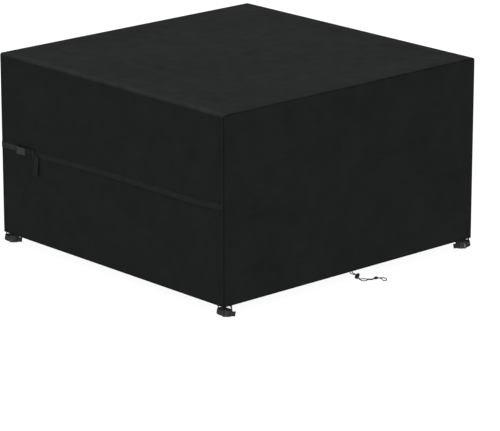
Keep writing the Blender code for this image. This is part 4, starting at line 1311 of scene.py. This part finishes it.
# %% [markdown]
# ## Corner loops
#
# Below each corner of the hem a loop of narrower tape closes round a leg with a small
# buckle, and two short tabs hold it to the hem. Each loop is described in its own
# frame, whose +X points to the buckle and whose +Z points up, tilted so that the plug
# hangs low.

# %% Sizes and lines of the loops
LEG_INSET = 0.025
RING_ROUND = 0.02925
RING_DROP = 0.027
RING_TILT = 9.5
RING_BUCKLE_OUT = 0.0228
STUB = 0.016
LOOP_WIDE = 0.020
RING_ANGLES, FOLDED_ANGLES = range(46, 315, 7), range(44, 63, 3)
TAB_WIDE, TAB_THICK, TAB_RISE = 0.010, 0.0015, 0.019
TAB_ROUND, TAB_CLEAR, TAB_SHORT = 0.0268, 0.0042, 0.0030
TAB_HEIGHTS = (TAB_RISE, 0.002, -0.002)
SEWN = len(TAB_HEIGHTS)
CORNER_COLUMNS = ("name", "side_x", "side_y", "faces", "plug_side",
                  "wall_a", "along_a", "ring_a", "wall_b", "along_b", "ring_b")
CORNERS = (
    ("front_left", -1, -1, -20, 1, "y", 0.016, -125, "y", 0.073, 30),
    ("front_right", 1, -1, -20, 1, "y", 0.038, -118, "x", 0.038, 30),
    ("back_right", 1, 1, -58, -1, "x", 0.016, 41, "x", 0.067, -108),
    ("back_left", -1, 1, 160, 1, "y", 0.038, 62, "x", 0.038, 210),
)


def ring_matrix(corner):
    move = Matrix.Translation((
        corner["side_x"] * (WIDE / 2 - LEG_INSET), corner["side_y"] * (DEEP / 2 - LEG_INSET),
        HEM - RING_DROP,
    ))
    face = Matrix.Rotation(math.radians(corner["faces"]), 4, "Z")
    return move @ face @ Matrix.Rotation(math.radians(-RING_TILT * corner["plug_side"]), 4, "X")


def ring_line():
    """Middle line of a loop's tape: stub, ladder, round the leg, bar and fold-back."""
    height = levels(LOOP_KIT)
    half, thick = LOOP_KIT["half_length"], LOOP_KIT["webbing_thick"]
    tail = RING_BUCKLE_OUT + height["tail"]
    line = [
        (tail + 0.0012, half + STUB, 0), (tail + 0.0004, half + STUB * 0.6, 0),
        (tail, half + 0.0015, 0.004),
    ]
    line += [(RING_BUCKLE_OUT + h, s, bend) for s, h, bend in reversed(ladder_line(LOOP_KIT))]
    line.append((RING_BUCKLE_OUT + height["load"], 0.0160, 0.006))
    for angle in RING_ANGLES:
        way = math.radians(angle)
        line.append((RING_ROUND * math.cos(way), RING_ROUND * math.sin(way), 0))
    turn = -half + LOOP_KIT["bar"] + GAP + thick / 2
    over = RING_BUCKLE_OUT + height["over_bar"]
    line += [
        (RING_BUCKLE_OUT + height["load"], turn, height["bend"]), (over, turn, height["bend"]),
        (over, -half - GAP - thick / 2, height["bend"]),
    ]
    outer = RING_ROUND + thick + GAP
    for angle in FOLDED_ANGLES:
        way = math.radians(-angle)
        line.append((outer * math.cos(way), outer * math.sin(way), 0))
    return line


print("corners of a loop's line:", len(ring_line()))

# %% [markdown]
# A tab is sewn flat behind the hem at its top and lies flat inside the loop below, so it
# twists a little on its way. Two sections between its ends turn it gradually.


# %% Helper for the tabs
def tab_sections(corner, letter, ring_frame):
    """Short tape, flat behind the hem at its top and flat inside the loop below."""
    wall, along = corner["wall_" + letter], corner["along_" + letter]
    deep = HEM_THICK + GAP + TAB_THICK / 2
    side_x, side_y = corner["side_x"], corner["side_y"]
    if wall == "x":
        top = Vector((side_x * (WIDE / 2 - deep), side_y * (DEEP / 2 - along), 0.0))
        out = Vector((side_x, 0.0, 0.0))
    else:
        top = Vector((side_x * (WIDE / 2 - along), side_y * (DEEP / 2 - deep), 0.0))
        out = Vector((0.0, side_y, 0.0))
    turn = math.radians(corner["ring_" + letter] - corner["faces"])
    spoke = Vector((math.cos(turn), math.sin(turn), 0.0))
    turned = ring_frame.to_3x3() @ spoke
    if turned.dot(out) < 0:
        turned.negate()
    places = [(top + Vector((0, 0, HEM + rise)), out) for rise in TAB_HEIGHTS]
    upper = ring_frame @ (spoke * TAB_ROUND + Vector((0, 0, LOOP_WIDE / 2 + TAB_CLEAR)))
    lower = ring_frame @ (spoke * TAB_ROUND + Vector((0, 0, TAB_SHORT - LOOP_WIDE / 2)))
    start = places[-1][0]
    for share in (0.3, 0.65):
        between = start.lerp(upper, share)
        between.z = start.z + (upper.z - start.z) * share ** 2
        places.append((between, out.lerp(turned, smooth_step(share)).normalized()))
    places += [(upper, turned), (lower, turned)]
    sections = []
    line = [here for here, _ in places]
    for number, (here, facing) in enumerate(places):
        way = step_past(line, number) if number >= SEWN else Vector((0, 0, -1))
        wide = way.cross(facing).normalized() * (TAB_WIDE / 2)
        sections.append((here - wide, here + wide, facing, 1.0))
    return sections


print("places down a tab:", SEWN + 4)

# %% Make the loops
strap_finish = webbing_finish(
    "loop webbing", (0.0190, 0.0198, 0.0206, 1), (0.0400, 0.0412, 0.0425, 1), rib=0.0018
)
corners = [dict(zip(CORNER_COLUMNS, values)) for values in CORNERS]
for corner in corners:
    ring_frame = ring_matrix(corner)
    mirror = corner["plug_side"]

    def loop_place(point, across):
        return ring_frame @ Vector((point[0], mirror * point[1], across))

    sections = sections_of(rounded(ring_line()), loop_place, LOOP_WIDE)
    name = "loop_" + corner["name"]
    mesh = tape_mesh(name, sections, LOOP_KIT["webbing_thick"])
    made = new_piece(name, mesh, strap_finish, smooth=60)
    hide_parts("strap_" + corner["name"] + "_webbing")
    for letter in ("a", "b"):
        name = "tab_" + letter + "_" + corner["name"]
        mesh = tape_mesh(name, refined(tab_sections(corner, letter, ring_frame), 5), TAB_THICK)
        made = new_piece(name, mesh, strap_finish, smooth=60)
        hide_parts("strap_" + corner["name"] + "_tab_" + letter)
print("loops:", len(corners))

# %% [markdown]
# ## Buckles
#
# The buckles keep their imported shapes, which have the prongs, windows, bars and ladders
# of the real ones. Moulded plastic has a fine matt grain, slight sink marks and small
# scuffs, and it is smoother than the cloth, so that it shows clear highlights.

# %% Plastic finish
def plastic(name, dark, rubbed_tone, specular):
    made, tree, shader = new_finish(name, 0.38, specular=specular)
    local = place_of(tree)
    grain = cloud(tree, local, 1400.0, 2.0)
    sink = cloud(tree, local, 90.0, 2.0)
    scuffs = cloud(tree, place_scaled(tree, local, (220.0, 220.0, 1500.0)), 1.0, 4.0, 0.7)
    height = plus(tree, times(tree, grain, 0.25), sink)
    relief(tree, shader, height, 0.35, 0.0003)
    tint(tree, shader, scuffs, 0.45, 0.70, dark, rubbed_tone)
    feed(shader, "Roughness", stretch_range(tree, scuffs, 0.4, 0.7, 0.30, 0.52))
    return made


belt_plastic = plastic(
    "moulded plastic", (0.0040, 0.0040, 0.0042, 1), (0.012, 0.012, 0.0124, 1), specular=0.12
)
loop_plastic = plastic(
    "moulded plastic, small", (0.018, 0.0178, 0.018, 1), (0.042, 0.0415, 0.042, 1), specular=0.25
)
for name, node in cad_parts.items():
    if "buckle" in name:
        node.data.materials.clear()
        node.data.materials.append(belt_plastic if name.startswith("belt") else loop_plastic)
print("plastic pieces:", sum("buckle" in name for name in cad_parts))

# %% [markdown]
# The belt's buckle shows a light crossed lattice on its socket and one light bar on its
# plug. They are raised grip ribs, and their pale tone is a painted highlight. Each rib is
# a short flat strip with rounded edges, so the tape helper makes it.

# %% Add the ribs
# The ribs' pale tone is a painted highlight
rib_highlight_finish, tree, shader = new_finish("rib plastic, painted highlight", 0.42, specular=0.25)
local = place_of(tree)
tint(tree, shader, cloud(tree, local, 320.0, 4.0, 0.7), 0.38, 0.62,
     (0.006, 0.006, 0.0062, 1), (0.034, 0.034, 0.0346, 1))
relief(tree, shader, cloud(tree, local, 1400.0, 2.0), 0.3, 0.0002)
RIB_TALL = 0.0011
# Each row: along and across at both ends, width, height of its middle off the cloth
RIBS = [
    (-0.0430, 0.0116, 0.0034, 0.0116, 0.0020, 0.01146),
    (-0.0430, -0.0116, 0.0034, -0.0116, 0.0020, 0.01146),
    (-0.0421, -0.0122, -0.0421, 0.0122, 0.0020, 0.01154),
    (0.0025, -0.0122, 0.0025, 0.0122, 0.0020, 0.01154),
    (0.0086, -0.0125, 0.0086, 0.0125, 0.0034, 0.0105),
]
# The lattice lies between two ends, with half its height, and begins a cross at each pitch
from_low, to_high, half_tall, pitch = -0.0421, 0.0025, 0.0116, 0.0150
for number in range(-1, 3):
    begin = from_low + pitch * number
    for way, out_by in ((1, 0.0113), (-1, 0.01138)):
        low_along, high_along = max(begin, from_low), min(begin + 2 * half_tall, to_high)
        low_across = way * (low_along - begin - half_tall)
        high_across = way * (high_along - begin - half_tall)
        RIBS.append((low_along, low_across, high_along, high_across, 0.0032, out_by))
rib_points, rib_faces = [], []
for low_along, low_across, high_along, high_across, wide, out_by in RIBS:
    start = Vector((low_along, low_across))
    end = Vector((high_along, high_across))
    way = (end - start).normalized()
    square = Vector((-way.y, way.x)) * (wide / 2)
    sections = []
    for share in (0.0, 0.03, 0.1, 0.5, 0.9, 0.97, 1.0):
        here = start.lerp(end, share)
        slim = 0.7 if share in (0.0, 1.0) else 1.0
        edges = []
        for side in (-1, 1):
            along, across = here + square * (side * slim)
            edges.append(Vector((
                BELT_BUCKLE_AT - WIDE / 2 + along, -DEEP / 2 - out_by,
                belt_height(BELT_BUCKLE_AT - WIDE / 2) + across,
            )))
        sections.append((*edges, Vector((0.0, -1.0, 0.0)), slim))
    rib = tape_mesh("rib", sections, RIB_TALL)
    shift = len(rib_points)
    rib_points += [tuple(v.co) for v in rib.vertices]
    rib_faces += [[shift + n for n in face.vertices] for face in rib.polygons]
rib_mesh = bpy.data.meshes.new("buckle_ribs")
rib_mesh.from_pydata(rib_points, [], rib_faces)
new_piece("buckle_ribs", rib_mesh, rib_highlight_finish, smooth=50)
print("ribs:", len(RIBS))

# %% [markdown]
# ## The cord lock
#
# A barrel with a cross hole and a spring-loaded button with a slot of its own. Both are
# turned from a profile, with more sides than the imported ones, and their edges are
# bevelled. The hole is cut with a box, a little wider than the two strands. In the
# button it is taller by the button's travel.

# %% Helpers for turned parts
LOCK_SIDES = 56


def turned_mesh(name, profile):
    """A solid turned about Z from a profile of (radius, height), from axis to axis."""
    work = bmesh.new()
    rings = []
    for radius, height in profile:
        if radius == 0.0:
            rings.append([work.verts.new((0.0, 0.0, height))])
            continue
        rings.append([
            work.verts.new((
                radius * math.cos(math.tau * n / LOCK_SIDES),
                radius * math.sin(math.tau * n / LOCK_SIDES), height,
            )) for n in range(LOCK_SIDES)
        ])
    for first, second in zip(rings, rings[1:]):
        for number in range(LOCK_SIDES):
            after = (number + 1) % LOCK_SIDES
            if len(first) == 1:
                work.faces.new((first[0], second[after], second[number]))
            elif len(second) == 1:
                work.faces.new((first[number], first[after], second[0]))
            else:
                work.faces.new((first[number], first[after], second[after], second[number]))
    bmesh.ops.recalc_face_normals(work, faces=work.faces)
    mesh = bpy.data.meshes.new(name)
    work.to_mesh(mesh)
    work.free()
    return mesh


def cut_box(mesh, low, high, edge):
    """The mesh with a box cut from it and its sharp edges bevelled."""
    body = bpy.data.objects.new("body", mesh)
    work = bmesh.new()
    bmesh.ops.create_cube(work, size=1.0)
    bmesh.ops.scale(work, verts=work.verts, vec=Vector(high) - Vector(low))
    bmesh.ops.translate(work, verts=work.verts, vec=(Vector(high) + Vector(low)) / 2)
    tool_mesh = bpy.data.meshes.new("tool")
    work.to_mesh(tool_mesh)
    work.free()
    tool = bpy.data.objects.new("tool", tool_mesh)
    for thing in (body, tool):
        bpy.context.scene.collection.objects.link(thing)
    cut = body.modifiers.new("cut", "BOOLEAN")
    cut.operation, cut.solver, cut.object = "DIFFERENCE", "EXACT", tool
    bevel = body.modifiers.new("bevel", "BEVEL")
    bevel.width, bevel.segments, bevel.limit_method = edge, 2, "ANGLE"
    bevel.angle_limit = math.radians(50)
    bpy.context.view_layer.update()
    graph = bpy.context.evaluated_depsgraph_get()
    made = bpy.data.meshes.new_from_object(body.evaluated_get(graph))
    for thing in (body, tool):
        bpy.data.objects.remove(thing)
    return made


print("turned parts have", LOCK_SIDES, "sides")

# %% [markdown]
# The lock's plastic is smoother than the buckles', so its edges catch small highlights.

# %% Lock finish
lock_finish, tree, shader = new_finish("lock plastic", 0.3, specular=0.2)
local = place_of(tree)
grain = cloud(tree, local, 900.0, 3.0)
relief(tree, shader, grain, 0.2, 0.0002)
tint(tree, shader, cloud(tree, local, 260.0, 3.0), 0.4, 0.7,
     (0.0035, 0.0035, 0.0037, 1), (0.0090, 0.0090, 0.0094, 1))
feed(shader, "Roughness", stretch_range(tree, grain, 0.3, 0.7, 0.24, 0.40))
print("lock finish of", len(tree.nodes), "nodes")

# %% Make the lock
hole_half = STRAND_APART / 2 + CORD / 2 + GAP
hole_tall = CORD / 2 + GAP
past = BARREL_ROUND * 1.5
BARREL_PROFILE = (
    (0.0, -0.0100), (0.0062, -0.0100), (0.00675, -0.0098), (BARREL_ROUND, -0.0088),
    (BARREL_ROUND, -0.0074), (0.0073, -0.0070), (0.0073, -0.0062), (BARREL_ROUND, -0.0058),
    (BARREL_ROUND, 0.0066), (0.0072, 0.0078), (0.0066, 0.0080), (0.0057, 0.0078),
    (0.0057, -0.0082), (0.0, -0.0082),
)
BUTTON_PROFILE = (
    (0.0, -0.0039), (0.0054, -0.0039), (0.0054, 0.0108), (0.0051, 0.0120),
    (0.0044, 0.0128), (0.0034, 0.01315), (0.0030, 0.0128), (0.0, 0.0126),
)
BUTTON_TRAVEL = 0.004


def lock_part(name, node, profile, travel, edge, body):
    """A turned part with its cross hole, taller by the part's travel, at the lock's place."""
    low = (-past, -hole_half, -hole_tall)
    mesh = cut_box(turned_mesh(name, profile), low, (past, hole_half, hole_tall + travel), edge)
    mesh.transform(lock_frame())
    made = new_piece(name, mesh, lock_finish, body=body)
    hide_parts(node)
    return made


barrel = lock_part("lock_body", "lock_barrel", BARREL_PROFILE, 0.0, 0.00025, "cover")
button = lock_part("lock_push", "lock_button", BUTTON_PROFILE, BUTTON_TRAVEL, 0.0002, "button")
print("lock faces:", len(barrel.data.polygons), len(button.data.polygons))

# %% [markdown]
# ## Stitches
#
# Two rows of topstitching run beside each side seam, and one row holds the hem. Small
# boxes of stitches hold the tabs, and short rows hold the cord's outlet, the belt's ends
# and its folded-back tape. Thousands of like stitches are a task for Geometry Nodes: the
# tree takes lines, sets a point at each pitch, and puts one slim rounded stitch on it,
# turned along the line.


# %% Stitch tree
def stitch_tree():
    tree = bpy.data.node_groups.new("rows of stitches", "GeometryNodeTree")
    face = tree.interface
    face.new_socket("Lines", in_out="INPUT", socket_type="NodeSocketGeometry")
    for label in ("Pitch", "Stitch length", "Thread"):
        face.new_socket(label, in_out="INPUT", socket_type="NodeSocketFloat")
    face.new_socket("Finish", in_out="INPUT", socket_type="NodeSocketMaterial")
    face.new_socket("Stitches", in_out="OUTPUT", socket_type="NodeSocketGeometry")

    given = add_node(tree, "NodeGroupInput").outputs
    line = add_node(tree, "GeometryNodeMeshToCurve", {"Mesh": given["Lines"]})
    even = add_node(tree, "GeometryNodeResampleCurve", {
        "Curve": line.outputs[0], "Length": given["Pitch"],
    }, mode="LENGTH")
    along = add_node(tree, "GeometryNodeInputTangent")
    turn = add_node(tree, "FunctionNodeAlignRotationToVector", {
        "Vector": along.outputs[0],
    }, axis="Z")
    ball = add_node(tree, "GeometryNodeMeshUVSphere", {"Segments": 6, "Rings": 4, "Radius": 0.5})
    size = add_node(tree, "CombineXYZ", {
        "X": given["Thread"], "Y": given["Thread"], "Z": given["Stitch length"],
    })
    stitch = add_node(tree, "GeometryNodeTransform", {
        "Geometry": ball.outputs["Mesh"], "Scale": size.outputs[0],
    })
    put = add_node(tree, "GeometryNodeInstanceOnPoints", {
        "Points": even.outputs[0], "Instance": stitch.outputs[0], "Rotation": turn.outputs[0],
    })
    real = add_node(tree, "GeometryNodeRealizeInstances", {0: put.outputs[0]})
    smooth = add_node(tree, "GeometryNodeSetShadeSmooth", {"Geometry": real.outputs[0]})
    dress = add_node(tree, "GeometryNodeSetMaterial", {
        "Geometry": smooth.outputs[0], "Material": given["Finish"],
    })
    add_node(tree, "NodeGroupOutput", {0: dress.outputs[0]})
    return tree


STITCHES = stitch_tree()


def sew(name, lines, finish, pitch=0.0046, length=0.0040, thread=0.0009):
    """Stitches along lines of points, as one plain mesh."""
    guide = bpy.data.meshes.new(name + "_lines")
    points, edges = [], []
    for line in lines:
        edges += [(len(points) + n, len(points) + n + 1) for n in range(len(line) - 1)]
        points += [tuple(p) for p in line]
    guide.from_pydata(points, edges, [])
    helper = bpy.data.objects.new(name + "_helper", guide)
    bpy.context.scene.collection.objects.link(helper)
    change = helper.modifiers.new("stitches", "NODES")
    change.node_group = STITCHES
    values = {"Pitch": pitch, "Stitch length": length, "Thread": thread, "Finish": finish}
    for item in STITCHES.interface.items_tree:
        if item.item_type == "SOCKET" and item.in_out == "INPUT" and item.name in values:
            change[item.identifier] = values[item.name]
    bpy.context.view_layer.update()
    graph = bpy.context.evaluated_depsgraph_get()
    mesh = bpy.data.meshes.new_from_object(helper.evaluated_get(graph))
    helper.modifiers.clear()
    bpy.data.objects.remove(helper)
    new_piece(name, mesh, finish, smooth=180)
    print(name, "rows", len(lines), "faces", len(mesh.polygons))


# %% Thread finish
thread_finish, tree, shader = new_finish("sewing thread", 0.65, specular=0.1)
local = place_of(tree)
tint(tree, shader, cloud(tree, local, 300.0, 2.0), 0.35, 0.65,
     (0.0050, 0.0056, 0.0054, 1), (0.0110, 0.0120, 0.0116, 1))
relief(tree, shader, cloud(tree, local, 2500.0, 1.0), 0.4, 0.0001)
print("thread finish of", len(tree.nodes), "nodes")

# %% [markdown]
# The rows lie on the cloth's own surface, so their points come from the same function
# that made it. Each row is half sunk into the cloth.


# %% Sew the rows on the cloth
def strip_row(inward, side):
    """Points of a topstitch row beside a side seam, from hem to hem."""
    line = []
    for station in stations:
        if station[1] < HEM + 0.003:
            continue
        point, _ = main_point(station, (0, None, side * (WIDE / 2 - inward)), False)
        line.append(point + Vector((0.0, station[2], station[3])) * 0.00005)
    return line


def on_wall(face, place, z):
    """A point on the outer face of a wall, at a place along it and a height."""
    lift = face_lift(face, place, z)
    if face in ("front", "back"):
        side = -1 if face == "front" else 1
        lift += stitch_groove(WIDE / 2 - abs(place))
        return Vector((place, side * (DEEP / 2 + lift), z))
    side = 1 if face == "right" else -1
    return Vector((side * (WIDE / 2 + lift), place, z))


def hem_row(face):
    """Points of the row that holds the hem of one face."""
    end = WIDE / 2 - 0.011
    return [on_wall(face, place, HEM + HEM_ROW) for place in spread(-end, end, 0.006)]


def near_corner(corner, letter, places):
    """Points on a wall at (along, up) places, measured from where a tab is sewn."""
    from_corner = corner["along_" + letter]
    if corner["wall_" + letter] == "y":
        face, side, half = ("front" if corner["side_y"] < 0 else "back"), corner["side_x"], WIDE / 2
    else:
        face, side, half = ("right" if corner["side_x"] > 0 else "left"), corner["side_y"], DEEP / 2
    return [on_wall(face, side * (half - from_corner - along), HEM + up) for along, up in places]


seam_rows = [strip_row(inward, side) for inward in TOPSTITCH for side in (-1, 1)]
sew("stitches_seams", seam_rows, thread_finish)
sew("stitches_hem", [hem_row(face) for face in ("front", "right", "back", "left")], thread_finish)

# %% [markdown]
# Where a short piece has to bear a pull, a sewer goes round it in a box and across it
# twice. Each tab has such a box, and two short rows stand at each end of the outlet.

# %% Sew the boxes on the tabs
# A box of stitches and its two diagonals, as (side, height above the hem)
BOX_HALF, BOX_LOW, BOX_HIGH, BOX_PARTS = 0.0042, 0.004, 0.017, 4
BOX_PATHS = (
    ((-1, BOX_LOW), (1, BOX_LOW), (1, BOX_HIGH), (-1, BOX_HIGH), (-1, BOX_LOW)),
    ((-1, BOX_LOW), (1, BOX_HIGH)), ((1, BOX_LOW), (-1, BOX_HIGH)),
)
TACK_BESIDE, TACK_APART = 0.0135, 0.0012
box_lines = []
for corner in corners:
    for letter in ("a", "b"):
        for path in BOX_PATHS:
            places = []
            for (a, low), (b, high) in zip(path, path[1:]):
                for part in range(BOX_PARTS + 1):
                    t = part / BOX_PARTS
                    places.append(((a + (b - a) * t) * BOX_HALF, low + (high - low) * t))
            box_lines.append(near_corner(corner, letter, places))
for side in (-1, 1):
    for half in (-0.5, 0.5):
        y = OUTLET_Y + side * TACK_BESIDE + half * TACK_APART
        box_lines.append([on_wall("right", y, HEM + up) for up in spread(0.003, 0.013, 0.0025)])
sew("stitches_tabs", box_lines, thread_finish, pitch=0.0030, length=0.0026, thread=0.0008)

# %% [markdown]
# Rows across the belt hold its ends beside the side seams, and two more hold the tape
# that is folded back from the buckle. Each row lies on the outermost tape.

# %% Sew the rows on the belt
ACROSS_HALF = 0.0105
FOLD_ROWS = (0.0065, 0.0095)


def belt_row(x, level):
    """Points of a row across the belt, on tape whose middle is at a level off the cloth."""
    out_by = levels(BELT_KIT)[level] + BELT_KIT["webbing_thick"] / 2
    ups = spread(-ACROSS_HALF, ACROSS_HALF, 0.003)
    return [Vector((x, -DEEP / 2 - out_by, belt_height(x) + up)) for up in ups]


belt_lines = []
for side in (-1, 1):
    belt_lines += [belt_row(side * (WIDE / 2 - inward), "load") for inward in TOPSTITCH]
fold = BELT_BUCKLE_AT - WIDE / 2 - BELT_KIT["half_length"]
belt_lines += [belt_row(fold - back_by, "tail") for back_by in FOLD_ROWS]
sew("stitches_belt", belt_lines, thread_finish, pitch=0.0030, length=0.0026, thread=0.0009)

# %% [markdown]
#
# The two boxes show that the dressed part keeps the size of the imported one.

# %% Declare and finish
for name, piece in cords.items():
    line = routes[name]
